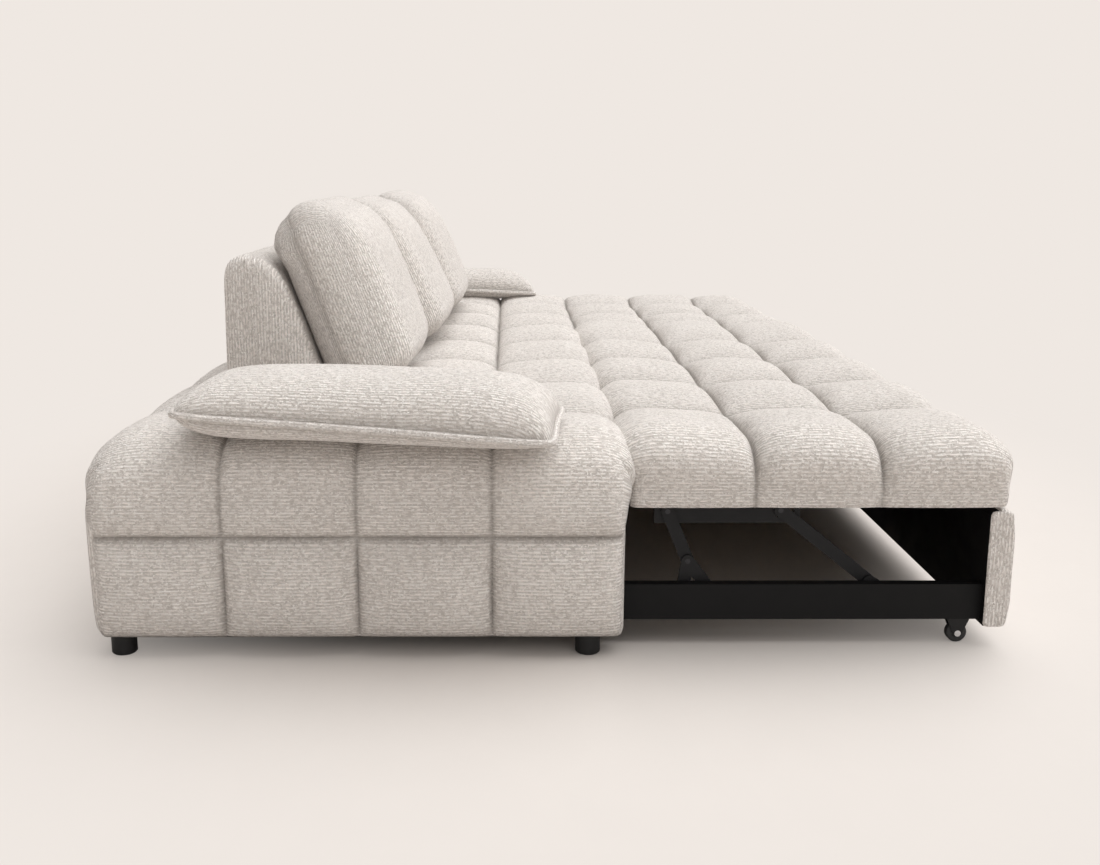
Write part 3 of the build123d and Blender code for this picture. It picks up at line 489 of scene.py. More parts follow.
def timber_grain_group():
    """Streaks and growth lines along X."""
    group, wiring, given, wanted = node_group("TimberGrain", [("Waver", 2.0)], ["Streak", "Pore"])
    vector = given["Vector"]
    bend = wiring.speckle(wiring.scaled(vector, BEND_SCALE), 2.0)
    part = wiring.add("ShaderNodeSeparateXYZ", {"Vector": vector}).outputs
    layer = wiring.maths("MULTIPLY", part["Z"], LAYERS_UP)
    layer = wiring.maths("MULTIPLY_ADD", part["Y"], LAYERS_ACROSS, layer)
    phase = wiring.maths("MULTIPLY_ADD", bend, given["Waver"], layer)
    streak = wiring.maths("MULTIPLY_ADD", wiring.maths("SINE", phase), 0.5, 0.5)
    pore = wiring.speckle(wiring.scaled(vector, PORE_SCALE), 2.0)
    wiring.feed(wanted["Streak"], streak)
    wiring.feed(wanted["Pore"], wiring.ramp(pore, *PORE_RANGE))
    return group


GROUPS = {}


def shared_group(name):
    """A shader node group, built once."""
    makers = {"RibbedWeave": ribbed_weave_group, "FineGrain": fine_grain_group,
              "TimberGrain": timber_grain_group}
    if name not in GROUPS:
        GROUPS[name] = makers[name]()
    return GROUPS[name]


def plain_material(name, **constants):
    """A material with its shader's constant values set; returns material, wiring and shader."""
    material = bpy.data.materials.new(name)
    material.use_nodes = True
    shader = material.node_tree.nodes["Principled BSDF"]
    for label, value in constants.items():
        shader.inputs[label.replace("_", " ")].default_value = value
    return material, Wiring(material.node_tree), shader


def place_group(wiring, name, vector, **values):
    """A shared group in a material, with its own values; returns its outputs."""
    node = wiring.add("ShaderNodeGroup", node_tree=shared_group(name))
    wiring.feed(node.inputs["Vector"], vector)
    for label, value in values.items():
        wiring.feed(node.inputs[label.replace("_", " ")], value)
    return node.outputs


def bump(wiring, shader, height, strength, depth):
    """Feeds a height to the shader's normal."""
    node = wiring.add("ShaderNodeBump", {"Height": height, "Strength": strength, "Distance": depth})
    wiring.feed(shader.inputs["Normal"], node.outputs["Normal"])


MATERIALS = {}


def chenille():
    """Ribbed off-white chenille, laid out by each piece's weave coordinates."""
    fabric = bpy.context.scene.sofa_fabric
    material, wiring, shader = plain_material(
        "chenille", Roughness=0.92, Sheen_Weight=0.2, Sheen_Roughness=0.45, Specular_IOR_Level=0.18)
    weave = wiring.add("ShaderNodeUVMap", uv_map="weave").outputs["UV"]
    cloth = place_group(wiring, "RibbedWeave", weave, Rib_Spacing=fabric.rib_spacing, Waver=0.28)
    woven = wiring.mixed(cloth["Tone"], (*fabric.ground_colour, 1), (*fabric.pile_colour, 1))
    share = wiring.maths("MULTIPLY", cloth["Fleck"], FLECK_SHARE)
    flecked = wiring.mixed(share, woven, (*fabric.fleck_colour, 1))
    # Mixes in the seam colour where the cover stores painted seam and valley shade.
    parted_and_shaded = wiring.add("ShaderNodeAttribute", attribute_name="seam").outputs["Fac"]
    wiring.feed(shader.inputs["Base Color"], wiring.mixed(parted_and_shaded, flecked, (*fabric.seam_colour, 1)))
    bump(wiring, shader, cloth["Height"], strength=0.85, depth=0.0024)
    return material


def grained(name, dark, light, rough, scale, depth, **constants):
    """A finish of fine grain between two colours and two roughnesses, on the node's own coordinates."""
    material, wiring, shader = plain_material(name, **constants)
    place = wiring.add("ShaderNodeTexCoord").outputs["Object"]
    grain = place_group(wiring, "FineGrain", place, Scale=scale)
    wiring.feed(shader.inputs["Base Color"], wiring.mixed(grain["Grain"], (*dark, 1), (*light, 1)))
    wiring.feed(shader.inputs["Roughness"], wiring.ramp(grain["Smudge"], 0, 1, *rough))
    bump(wiring, shader, grain["Grain"], strength=0.35, depth=depth)
    return material


def black_foil():
    """Black foil on board."""
    return grained("black_foil", dark=(0.0035, 0.0035, 0.0037), light=(0.0055, 0.0055, 0.006),
                   rough=(0.45, 0.58), scale=700, depth=0.0002, Specular_IOR_Level=0.16)


def black_paint():
    """Black powder coat on steel."""
    return grained("black_paint", dark=(0.004, 0.004, 0.0045), light=(0.008, 0.008, 0.009),
                   rough=(0.40, 0.52), scale=1300, depth=0.0003, Specular_IOR_Level=0.25)


def black_bolt():
    """Blackened steel bolts."""
    return grained("black_bolt", dark=(0.03, 0.03, 0.032), light=(0.06, 0.06, 0.064),
                   rough=(0.28, 0.40), scale=1600, depth=0.0001, Metallic=1.0)


def zinc_plate():
    """Zinc-plated steel."""
    return grained("zinc_plate", dark=(0.56, 0.57, 0.58), light=(0.70, 0.70, 0.71),
                   rough=(0.22, 0.36), scale=1800, depth=0.0001, Metallic=1.0)


def moulded_black():
    """Moulded black plastic."""
    return grained("moulded_black", dark=(0.005, 0.005, 0.0052), light=(0.009, 0.009, 0.0095),
                   rough=(0.40, 0.52), scale=1500, depth=0.0002, Specular_IOR_Level=0.3)


def tyre_rubber():
    """Dark grey soft tread."""
    return grained("tyre_rubber", dark=(0.014, 0.014, 0.015), light=(0.026, 0.026, 0.027),
                   rough=(0.62, 0.76), scale=1100, depth=0.0003)


def black_felt():
    """Black non-woven lining."""
    return grained("black_felt", dark=(0.005, 0.005, 0.0052), light=(0.011, 0.011, 0.0115),
                   rough=(0.86, 0.97), scale=520, depth=0.0008, Specular_IOR_Level=0.2)


def pale_timber():
    """Sawn pine and plywood."""
    material, wiring, shader = plain_material("pale_timber", Specular_IOR_Level=0.3)
    place = wiring.add("ShaderNodeTexCoord").outputs["Object"]
    grain = place_group(wiring, "TimberGrain", place, Waver=6.0)
    wood = wiring.mixed(grain["Streak"], (0.52, 0.36, 0.20, 1), (0.66, 0.49, 0.30, 1))
    share = wiring.maths("MULTIPLY", grain["Pore"], 0.35)
    wiring.feed(shader.inputs["Base Color"], wiring.mixed(share, wood, (0.40, 0.26, 0.14, 1)))
    wiring.feed(shader.inputs["Roughness"], wiring.ramp(grain["Pore"], 0, 1, 0.58, 0.78))
    bump(wiring, shader, grain["Pore"], strength=0.3, depth=0.0004)
    return material


def woven_strap():
    """Dark elastic webbing."""
    material, wiring, shader = plain_material("woven_strap", Specular_IOR_Level=0.2)
    place = wiring.add("ShaderNodeTexCoord").outputs["Object"]
    cloth = place_group(wiring, "RibbedWeave", place, Rib_Spacing=0.004, Waver=0.1)
    wiring.feed(shader.inputs["Base Color"],
                wiring.mixed(cloth["Height"], (0.02, 0.02, 0.022, 1), (0.07, 0.07, 0.075, 1)))
    wiring.feed(shader.inputs["Roughness"], wiring.ramp(cloth["Height"], 0, 1, 0.95, 0.8))
    bump(wiring, shader, cloth["Height"], strength=0.6, depth=0.0008)
    return material


MAKERS = {
    "upholstery": chenille, "lining": black_felt, "black_board": black_foil, "black_steel": black_paint,
    "bright_steel": zinc_plate, "black_plastic": moulded_black, "castor_tyre": tyre_rubber,
    "timber": pale_timber, "webbing": woven_strap, "bolts": black_bolt,
}
BOLT_NODES = ("bed_pins", "front_arm_pins", "lift_bracket_pins")


def finish(name):
    """The material of a slot or lining, made once."""
    if name not in MATERIALS:
        MATERIALS[name] = MAKERS[name]()
    return MATERIALS[name]


# Mesh making

def mesh_object(name, points, faces, weave, slot="upholstery"):
    """A smooth-shaded object; weave gives each face corner's place on the cloth, in metres."""
    mesh = bpy.data.meshes.new(name)
    mesh.from_pydata([tuple(point) for point in points], [], [tuple(face) for face in faces])
    layer = mesh.uv_layers.new(name="weave")
    layer.data.foreach_set("uv", np.asarray(weave, dtype=np.float32).ravel())
    mesh.materials.append(finish(slot))
    mesh.polygons.foreach_set("use_smooth", [True] * len(mesh.polygons))
    mesh.update()
    piece = bpy.data.objects.new(name, mesh)
    bpy.context.collection.objects.link(piece)
    return piece


def paint_seam_shade(piece, shares):
    """Stores how dark the seam colour is painted at each vertex, from 0 to 1: painted shade along seams,
    piping and tuft valleys, with the pile's parting in the seams.
    """
    layer = piece.data.attributes.new("seam", "FLOAT", "POINT")
    layer.data.foreach_set("value", np.asarray(shares, dtype=np.float32))


def close_stops(stops, count):
    """Positions between neighbouring stops, crowded towards each stop."""
    share = 0.5 - 0.5 * np.cos(np.linspace(0, math.pi, count + 1))
    steps = [start + (end - start) * share[:-1] for start, end in zip(stops, stops[1:])]
    return np.append(np.concatenate(steps), stops[-1])


def box_surface(stops, keeps):
    """Grid on the sides of a box; keeps(side, centre) filters its quads.

    Returns the points, the quads, each quad's side, and the point number at each grid place."""
    index = {}
    points = []
    quads = []
    sides = []

    def corner(place):
        if place not in index:
            index[place] = len(points)
            points.append([stops[axis][place[axis]] for axis in range(3)])
        return index[place]

    for side in (NEAR_SIDE, FAR_SIDE, FRONT_SIDE, REAR_SIDE, UNDER_SIDE, TOP_SIDE):
        axis, end = side
        across, along = [other for other in range(3) if other != axis]
        level = end * (len(stops[axis]) - 1)
        outward = (end == 1) != (axis == 1)
        for a in range(len(stops[across]) - 1):
            for b in range(len(stops[along]) - 1):
                centre = [0.0, 0.0, 0.0]
                centre[axis] = stops[axis][level]
                centre[across] = (stops[across][a] + stops[across][a + 1]) / 2
                centre[along] = (stops[along][b] + stops[along][b + 1]) / 2
                if not keeps(side, centre):
                    continue
                quad = []
                for da, db in ((0, 0), (1, 0), (1, 1), (0, 1)):
                    place = [0, 0, 0]
                    place[axis] = level
                    place[across] = a + da
                    place[along] = b + db
                    quad.append(corner(tuple(place)))
                quads.append(quad if outward else quad[::-1])
                sides.append(side)
    return np.array(points), quads, sides, index


def rounded(points, low, high, low_radius, high_radius):
    """Points of a box moved onto its rounded form, and the outward direction at each."""
    low_radius = np.asarray(low_radius)
    high_radius = np.asarray(high_radius)
    core = np.clip(points, low + low_radius, high - high_radius)
    offset = points - core
    reach = np.where(offset < 0, low_radius, high_radius)
    unit = offset / reach
    length = np.linalg.norm(unit, axis=1, keepdims=True)
    unit = unit / np.maximum(length, TINY)
    return core + unit * reach, unit


def wrapped_weave(points, quads, sides, low, high):
    """Cloth coordinates of each quad corner: Y along the ribs, X across them, folded over the edges."""
    weave = []
    for quad, side in zip(quads, sides):
        for corner in quad:
            x, y, z = points[corner]
            depth = high[2] - z
            if side == NEAR_SIDE:
                x = low[0] - depth
            elif side == FAR_SIDE:
                x = high[0] + depth
            elif side == FRONT_SIDE:
                y = low[1] - depth
            elif side == REAR_SIDE:
                y = high[1] + depth
            weave.append((y, x))
    return weave


def smooth_step(value):
    """Eased share between 0 and 1."""
    share = np.clip(value, 0, 1)
    return share * share * (3 - 2 * share)


def swell(seams, value, roll_share):
    """Rise of a tuft from 0 at its seams to 1 at its crown, with the distance to the nearest seam."""
    seams = np.asarray(seams)
    cell = np.clip(np.searchsorted(seams, value, side="right") - 1, 0, len(seams) - 2)
    start = seams[cell]
    end = seams[cell + 1]
    gap = np.clip(np.minimum(value - start, end - value), 0, None)
    half = np.minimum((end - start) / 2, TUFT_HALF_MOST)
    crown = 1 - (1 - np.clip(gap / half, 0, 1)) ** 2
    roll = np.sqrt(1 - (1 - np.clip(gap / TUFT_ROLL, 0, 1)) ** 2)
    return roll_share * roll + (1 - roll_share) * crown, gap


def ripple(points, scale):
    """Steady noise at each point, from -1 to 1."""
    return np.array([noise.noise(Vector(point) * scale) for point in points])


class Tufting:
    """Seams of a cover along one axis: inner ones, and those on the faces it folds down to."""

    def __init__(self, low, high, inner, before, after):
        self.folded = [low - depth for depth in before] + list(inner) + [high + depth for depth in after]
        self.flat = [low] + list(inner) + [high]

    def grid(self, count):
        """Mesh lines from end to end."""
        return close_stops(self.flat, count)


def bend(run, radius):
    """Round bend of a path over an edge: run is negative before the edge and positive after it.

    Returns the distance left to the far face, the drop below the first face and the angle turned."""
    turn = np.clip((run + radius) / (2 * radius), 0, 1) * math.pi / 2
    inside = np.abs(run) < radius
    left = np.where(inside, radius - radius * np.sin(turn), np.clip(-run, 0, None))
    drop = np.where(inside, radius - radius * np.cos(turn), np.clip(run, 0, None))
    return left, drop, turn


def plan_corners(points, low, high, near_radius, far_radius):
    """Points with the upright corners of their box rounded in plan."""
    radius = np.where(points[:, :1] < (low[0] + high[0]) / 2, near_radius, far_radius)
    core = np.clip(points[:, :2], low[:2] + radius, high[:2] - radius)
    offset = points[:, :2] - core
    length = np.maximum(np.linalg.norm(offset, axis=1), TINY)
    share = np.max(np.abs(offset), axis=1) / length
    rounded_points = points.copy()
    rounded_points[:, :2] = core + offset * share[:, None]
    return rounded_points


def edge_drop(radius):
    """Drop of a round bend at the edge itself."""
    return bend(np.zeros(1), radius)[1][0]


def side_distance(points, low, high, axis, end):
    """Distance of each point from one side of its box."""
    return points[:, axis] - low[axis] if end == 0 else high[axis] - points[:, axis]


def soft_block(points, low, high, rounds, corner, hem):
    """Points of a box moved onto its soft form, with the outward direction and the pull of each corner.

    rounds gives the radius of the top's edge over each upright side."""
    near_corner, far_corner = [min(corner, CORNER_SHARE * rounds[side]) for side in (NEAR_SIDE, FAR_SIDE)]
    shaped = plan_corners(points, low, high, near_corner, far_corner)
    depth = high[2] - points[:, 2]
    height = points[:, 2] - low[2]
    upper = np.isclose(depth, 0)
    under = np.isclose(height, 0)
    outward = np.zeros_like(points)
    outward[:, 2] = 1
    closeness = {0: np.zeros(len(points)), 1: np.zeros(len(points))}
    most = max(edge_drop(radius) for radius in rounds.values())
    fallen_top = np.zeros(len(points))
    falls = []
    for (axis, end), radius in rounds.items():
        distance = side_distance(points, low, high, axis, end)
        inward = 1 if end == 0 else -1
        on_side = np.isclose(distance, 0) & ~under
        left, _, turn = bend(np.where(on_side, depth, -distance), radius)
        fade = np.where(on_side | upper, 1, np.clip(1 - depth / radius, 0, 1) ** 2)
        shaped[:, axis] += inward * (left - distance) * fade * ~under
        outward[:, axis] -= inward * np.sin(turn) * fade
        outward[:, 2] *= np.cos(turn * fade)
        closeness[axis] = np.maximum(closeness[axis], np.clip(1 - distance / radius, 0, 1) ** 2)
        fallen_before = bend(-distance, radius)[1]
        fallen_top += fallen_before - fallen_top * fallen_before / most
        weight = fallen_before / edge_drop(radius)
        falls.append((on_side, bend(depth, radius)[1], weight))
        lifted, _, _ = bend(np.where(np.isclose(distance, 0), height, -distance), hem)
        shaped[:, axis] += inward * (lifted - distance) * (height < hem) * (distance < hem)
    drop = np.where(upper, fallen_top, depth)
    for on_side, fallen, _ in falls:
        more = np.max([np.clip(other - fallen, 0, None) * weight for _, other, weight in falls], axis=0)
        drop = np.where(on_side & ~upper, fallen + more, drop)
    shaped[:, 2] = high[2] - drop
    outward /= np.maximum(np.linalg.norm(outward, axis=1, keepdims=True), TINY)
    pull = closeness[0] * closeness[1] * np.clip(1 - depth / max(rounds.values()), 0, 1)
    return shaped, outward, pull


def edge_ease(points, low, high, axis, sides):
    """Share from 0 to 1 by which seams lie shallower where they cross the top's edge over given sides."""
    depth = high[2] - points[:, 2]
    ease = np.zeros(len(points))
    for end in (0, 1):
        if (axis, end) in sides:
            distance = side_distance(points, low, high, axis, end)
            ease = np.maximum(ease, smooth_step(1 - (distance + depth) / EDGE_REACH))
    return ease


def tufted_cover(name, low, high, rows, columns, levels, keeps, rises, rounds, corner, eased=()):
    """A tufted cover on a soft block. rows and columns are the Tufting along X and Y.

    rises gives the swell of the top and of each side, rounds the radius of the top's edges,
    eased the sides whose edge the seams cross in shallow dips."""
    fabric = bpy.context.scene.sofa_fabric
    row_steps, column_steps, level_steps = TUFT_STEPS
    stops = (rows.grid(row_steps), columns.grid(column_steps), close_stops(levels, level_steps))
    points, quads, sides, _ = box_surface(stops, keeps)
    shaped, outward, pull = soft_block(points, low, high, rounds, corner, fabric.hem_radius)
    depth = high[2] - points[:, 2]
    at_low = np.isclose(points, low)
    at_high = np.isclose(points, high)
    on_x = at_low[:, 0] | at_high[:, 0]
    on_y = at_low[:, 1] | at_high[:, 1]
    folded = points - at_low * depth[:, None] + at_high * depth[:, None]
    sinking = smooth_step(depth / SEAM_BLEND)
    row_roll = ROW_ROLL_SHARE + (FACE_ROLL_SHARE - ROW_ROLL_SHARE) * sinking
    column_roll = COLUMN_ROLL_SHARE + (FACE_ROLL_SHARE - COLUMN_ROLL_SHARE) * sinking
    row_top, row_gap = swell(rows.folded, folded[:, 0], row_roll)
    row_flat, _ = swell(rows.flat, points[:, 0], row_roll)
    column_top, column_gap = swell(columns.folded, np.where(on_x, points[:, 1], folded[:, 1]), column_roll)
    column_flat, _ = swell(columns.flat, points[:, 1], column_roll)
    row = np.where(on_x, row_top, row_top + (row_flat - row_top) * sinking * on_y)
    column = np.where(on_x, column_top + (column_flat - column_top) * sinking, column_top)
    rise = np.full(len(points), rises[TOP_SIDE])
    for axis, end in (REAR_SIDE, FRONT_SIDE, FAR_SIDE, NEAR_SIDE):
        facing = at_high[:, axis] if end else at_low[:, axis]
        rise = np.where(facing, rises[TOP_SIDE] + (rises[axis, end] - rises[TOP_SIDE]) * sinking, rise)
    rise = np.where(at_low[:, 2] & ~on_x & ~on_y, 0, rise)
    row_ease = edge_ease(points, low, high, 1, eased)
    column_ease = edge_ease(points, low, high, 0, eased)
    row = 1 - (1 - row) * (1 - EDGE_EASE * row_ease)
    column = 1 - (1 - column) * (1 - EDGE_EASE * column_ease)
    puff = row * column * (1 - CORNER_PULL * pull)
    gap = np.minimum(row_gap, column_gap)
    gather = ripple(points, GATHER_SCALE) * np.exp(-gap / GATHER_WIDTH) * fabric.pucker
    slack = ripple(points + SLACK_SHIFT, SLACK_SCALE) * fabric.settle * puff
    crease = -fabric.crease * np.exp(-(gap / CREASE_WIDTH) ** 2)
    height = rise * puff + (gather + slack + crease) * np.clip(rise / rises[TOP_SIDE], 0, 1)
    shaped = shaped + outward * height[:, None]
    cover = mesh_object(name, shaped, quads, wrapped_weave(points, quads, sides, low, high))
    # Seam colour for the shader: the pile's parting with painted shade close to each seam, and broader
    # painted shade down into the valleys between tufts.
    parted_and_shaded = SEAM_SHADE * np.exp(-(gap / SEAM_SHADE_WIDTH) ** 2)
    valley_shade = (1 - FACE_VALLEY_SHADE_FADE * sinking) * (1 - np.maximum(row_ease, column_ease))
    parted_and_shaded += valley_shade * np.maximum(ROW_VALLEY_SHADE * np.exp(-row_gap / VALLEY_SHADE_WIDTH),
                                  COLUMN_VALLEY_SHADE * np.exp(-column_gap / VALLEY_SHADE_WIDTH))
    paint_seam_shade(cover, parted_and_shaded * (rise > SEAM_LEAST_RISE))
    return cover


def pressed(piece, limit, reach):
    """Flattens a cover softly against an upright plane at X = limit."""
    places = np.empty(len(piece.data.vertices) * 3)
    piece.data.vertices.foreach_get("co", places)
    places = places.reshape(-1, 3)
    over = places[:, 0] - (limit - reach)
    places[:, 0] = np.where(over > 0, limit - reach + reach * np.tanh(over / reach), places[:, 0])
    piece.data.vertices.foreach_set("co", places.ravel())
    piece.data.update()


def thickened(piece, thickness):
    """Gives a shell the thickness of its cloth and backing, inwards."""
    modifier = piece.modifiers.new("cloth", "SOLIDIFY")
    modifier.thickness = thickness
    modifier.offset = -1
    return piece


def cord(name, points, outs, radius, closed):
    """A thin cord along points, as piping or a sewn ridge; outs points away from the surface."""
    points = np.asarray(points)
    count = len(points)
    sides = CORD_SIDES
    rings = []
    faces = []
    weave = []
    for i in range(count):
        behind = points[i - 1] if closed or i else points[i]
        ahead = points[(i + 1) % count] if closed or i < count - 1 else points[i]
        along = (ahead - behind) / np.linalg.norm(ahead - behind)
        out = outs[i] - along * np.dot(outs[i], along)
        out = out / np.linalg.norm(out)
        aside = np.cross(along, out)
        for k in range(sides):
            angle = 2 * math.pi * k / sides
            rings.append(points[i] + radius * (math.cos(angle) * out + math.sin(angle) * aside))
    run = 0.0
    for i in range(count if closed else count - 1):
        ahead = (i + 1) % count
        step = float(np.linalg.norm(points[ahead] - points[i]))
        for k in range(sides):
            after = (k + 1) % sides
            faces.append((i * sides + k, ahead * sides + k, ahead * sides + after, i * sides + after))
            low = radius * 2 * math.pi * k / sides
            high = radius * 2 * math.pi * (k + 1) / sides
            weave.extend([(run, low), (run + step, low), (run + step, high), (run, high)])
        run += step
    if not closed:
        for ring in (list(range(sides))[::-1], [(count - 1) * sides + k for k in range(sides)]):
            faces.append(ring)
            weave.extend([(0.0, 0.0)] * sides)
    return mesh_object(name, rings, faces, weave)


def seam_on(name, piece, start, end, inward, radius):
    """A sewn ridge on a piece's surface, over the line from start to end, found by looking inward."""
    tree = BVHTree.FromPolygons([vertex.co for vertex in piece.data.vertices],
                                [polygon.vertices for polygon in piece.data.polygons])
    points = []
    outs = []
    for share in np.linspace(0, 1, SEAM_STEPS):
        eye = Vector(start).lerp(Vector(end), share) - Vector(inward) * SEAM_EYE
        place, normal, _, _ = tree.ray_cast(eye, Vector(inward))
        if place is None:
            raise ValueError(f"{name}: the line misses {piece.name}")
        points.append(np.array(place))
        outs.append(np.array(normal))
    return cord(name, points, outs, radius, False)


def dress(piece, body, slot, *nodes):
    """Rides a piece on its body and hides the nodes that it stands for; its slot is not used."""
    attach(piece, body)
    if nodes:
        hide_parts(*nodes)
    return piece


def even_steps(low, high, count):
    """Inner seams that divide a length evenly."""
    return [low + (high - low) * i / count for i in range(1, count)]


def on_rim(centre, low, high, width):
    """Whether a place under a cover lies within a width of its edges."""
    inner_x = low[0] + width < centre[0] < high[0] - width
    inner_y = low[1] + width < centre[1] < high[1] - width
    return not (inner_x and inner_y)


class SOFA_OT_main_cover(bpy.types.Operator):
    """Tufted cover of the main seat, its near end and its rear"""

    bl_idname = "sofa.main_cover"
    bl_label = "Main seat cover"

    def execute(self, context):
        fabric = context.scene.sofa_fabric
        low = MAIN_LOW + np.array([FACE_INSET, CLOTH, -CLOTH])
        high = MAIN_HIGH - np.array([CLOTH, REAR_INSET, fabric.tuft_rise])
        drop = high[2] - low[2]
        seam_depth = high[2] - END_SEAM
        row_seams = even_steps(MAIN_LOW[0], MAIN_HIGH[0], MAIN_ROWS)
        column_seams = even_steps(MAIN_LOW[1], MAIN_HIGH[1], PLATFORM_COLUMNS)
        rows = Tufting(low[0], high[0], row_seams, (drop, seam_depth), (0.0,))
        columns = Tufting(low[1], high[1], column_seams, (high[2] - SEAT_BASE,), (drop,))
        rows.flat = [low[0], NEAR_BOARD_END] + row_seams + [high[0]]

        def keeps(side, centre):
            if side == FRONT_SIDE:
                return centre[2] > SEAT_BASE or centre[0] < NEAR_BOARD_END
            if side == FAR_SIDE:
                return centre[2] > SEAT_BASE
            if side == UNDER_SIDE:
                return centre[0] < NEAR_BOARD_END or centre[1] > high[1] - TURN_UNDER
            return True

        rises = {TOP_SIDE: fabric.tuft_rise, NEAR_SIDE: fabric.face_rise, FAR_SIDE: 0.0,
                 FRONT_SIDE: BUTT_RISE, REAR_SIDE: fabric.rear_rise}
        rounds = {NEAR_SIDE: fabric.edge_radius, REAR_SIDE: fabric.edge_radius * REAR_ROUND,
                  FRONT_SIDE: fabric.edge_radius * FRONT_ROUND, FAR_SIDE: BUTT_RADIUS}
        levels = [low[2], END_SEAM, SEAT_BASE, high[2]]
        cover = tufted_cover("main_seat_cover", low, high, rows, columns, levels, keeps, rises, rounds,
                             fabric.corner_radius, (NEAR_SIDE, REAR_SIDE))
        thickened(cover, CLOTH_BACKED)
        dress(cover, "platform", "upholstery", "main_seat_pad", "near_end_panel", "main_rear_cover")
        return {"FINISHED"}


class SOFA_OT_chaise_cover(bpy.types.Operator):
    """Tufted cover of the chaise, with its front, far end and rear"""

    bl_idname = "sofa.chaise_cover"
    bl_label = "Chaise cover"

    def execute(self, context):
        fabric = context.scene.sofa_fabric
        low = CHAISE_LOW + np.array([CLOTH, FACE_INSET, -CLOTH])
        high = CHAISE_HIGH - np.array([FACE_INSET, REAR_INSET, fabric.tuft_rise])
        drop = high[2] - low[2]
        seam_depth = high[2] - END_SEAM
        break_y = MAIN_LOW[1]
        column_seams = even_steps(CHAISE_LOW[1], break_y, BED_COLUMNS) + [break_y]
        column_seams += even_steps(break_y, CHAISE_HIGH[1], PLATFORM_COLUMNS)
        row_seams = even_steps(CHAISE_LOW[0], CHAISE_HIGH[0], CHAISE_ROWS)
        rows = Tufting(low[0], high[0], row_seams, (0.0,), (seam_depth, drop))
        columns = Tufting(low[1], high[1], column_seams, (drop, seam_depth), (drop,))

        def keeps(side, centre):
            if side == NEAR_SIDE:
                return centre[2] > SEAT_BASE
            return side != UNDER_SIDE or on_rim(centre, low, high, TURN_UNDER)

        rises = {TOP_SIDE: fabric.tuft_rise, NEAR_SIDE: 0.0, FAR_SIDE: fabric.face_rise,
                 FRONT_SIDE: fabric.face_rise, REAR_SIDE: fabric.rear_rise}
        rounds = {FAR_SIDE: fabric.edge_radius, REAR_SIDE: fabric.edge_radius * REAR_ROUND,
                  FRONT_SIDE: fabric.edge_radius, NEAR_SIDE: BUTT_RADIUS}
        levels = [low[2], END_SEAM, SEAT_BASE, high[2]]
        cover = tufted_cover("chaise_cover", low, high, rows, columns, levels, keeps, rises, rounds,
                             fabric.corner_radius, (FAR_SIDE, REAR_SIDE))
        thickened(cover, CLOTH_BACKED)
        dress(cover, "platform", "upholstery", "chaise_seat_pad", "chaise_front_panel", "chaise_end_panel",
              "chaise_rear_cover")
        return {"FINISHED"}


class SOFA_OT_bed_cover(bpy.types.Operator):
    """Tufted cover of the pull-out bed"""

    bl_idname = "sofa.bed_cover"
    bl_label = "Bed cover"

    def execute(self, context):
        fabric = context.scene.sofa_fabric
        low = BED_LOW + np.array([BED_INSET, -CLOTH, 0.0])
        high = BED_HIGH - np.array([CLOTH, CLOTH, fabric.tuft_rise])
        drop = high[2] - low[2] + BED_SEAM_BELOW
        row_seams = even_steps(BED_LOW[0], BED_HIGH[0], MAIN_ROWS)
        column_seams = even_steps(BED_LOW[1], BED_HIGH[1], BED_COLUMNS)
        rows = Tufting(low[0], high[0], row_seams, (drop,), (drop,))
        columns = Tufting(low[1], high[1], column_seams, (drop,), (drop,))

        def keeps(side, centre):
            return side != UNDER_SIDE or on_rim(centre, low, high, HEM_UNDER)

        rises = {TOP_SIDE: fabric.tuft_rise, NEAR_SIDE: BED_NEAR_RISE, FAR_SIDE: BUTT_RISE,
                 FRONT_SIDE: BED_FRONT_RISE, REAR_SIDE: BUTT_RISE}
        rounds = {NEAR_SIDE: fabric.bed_radius, FAR_SIDE: fabric.bed_radius * BED_FAR_ROUND,
                  FRONT_SIDE: fabric.bed_radius * BED_FRONT_ROUND,
                  REAR_SIDE: fabric.bed_radius * BED_REAR_ROUND}
        levels = [low[2], (low[2] + high[2]) / 2, high[2]]
        cover = tufted_cover("bed_cover", low, high, rows, columns, levels, keeps, rises, rounds,
                             fabric.corner_radius * BED_CORNER)
        pressed(cover, LINING_LOW[0] - CLOTH, PRESS_REACH)
        thickened(cover, CLOTH_BACKED)
        dress(cover, "bed_seat", "upholstery", "bed_pad", "bed_skirts")
        return {"FINISHED"}


def resampled(outline, count):
    """Points spaced evenly along a closed outline."""
    outline = np.asarray(outline)
    closed = np.vstack([outline, outline[:1]])
    steps = np.linalg.norm(np.diff(closed, axis=0), axis=1)
    run = np.concatenate([[0], np.cumsum(steps)])
    place = np.linspace(0, run[-1], count, endpoint=False)
    return np.stack([np.interp(place, run, closed[:, axis]) for axis in range(2)], axis=1), run[-1]


def soft_corners(corners, radius):
    """Closed outline through corners, each rounded off over its radius."""
    corners = np.asarray(corners)
    points = []
    for i in range(len(corners)):
        here = corners[i]
        legs = [corners[i - 1] - here, corners[(i + 1) % len(corners)] - here]
        lengths = [np.linalg.norm(leg) for leg in legs]
        start, end = [here + leg / length * min(radius, SECTION_LEG * length)
                      for leg, length in zip(legs, lengths)]
        for t in np.linspace(0, 1, SECTION_STEPS):
            points.append((1 - t) ** 2 * start + 2 * t * (1 - t) * here + t ** 2 * end)
    return np.array(points)


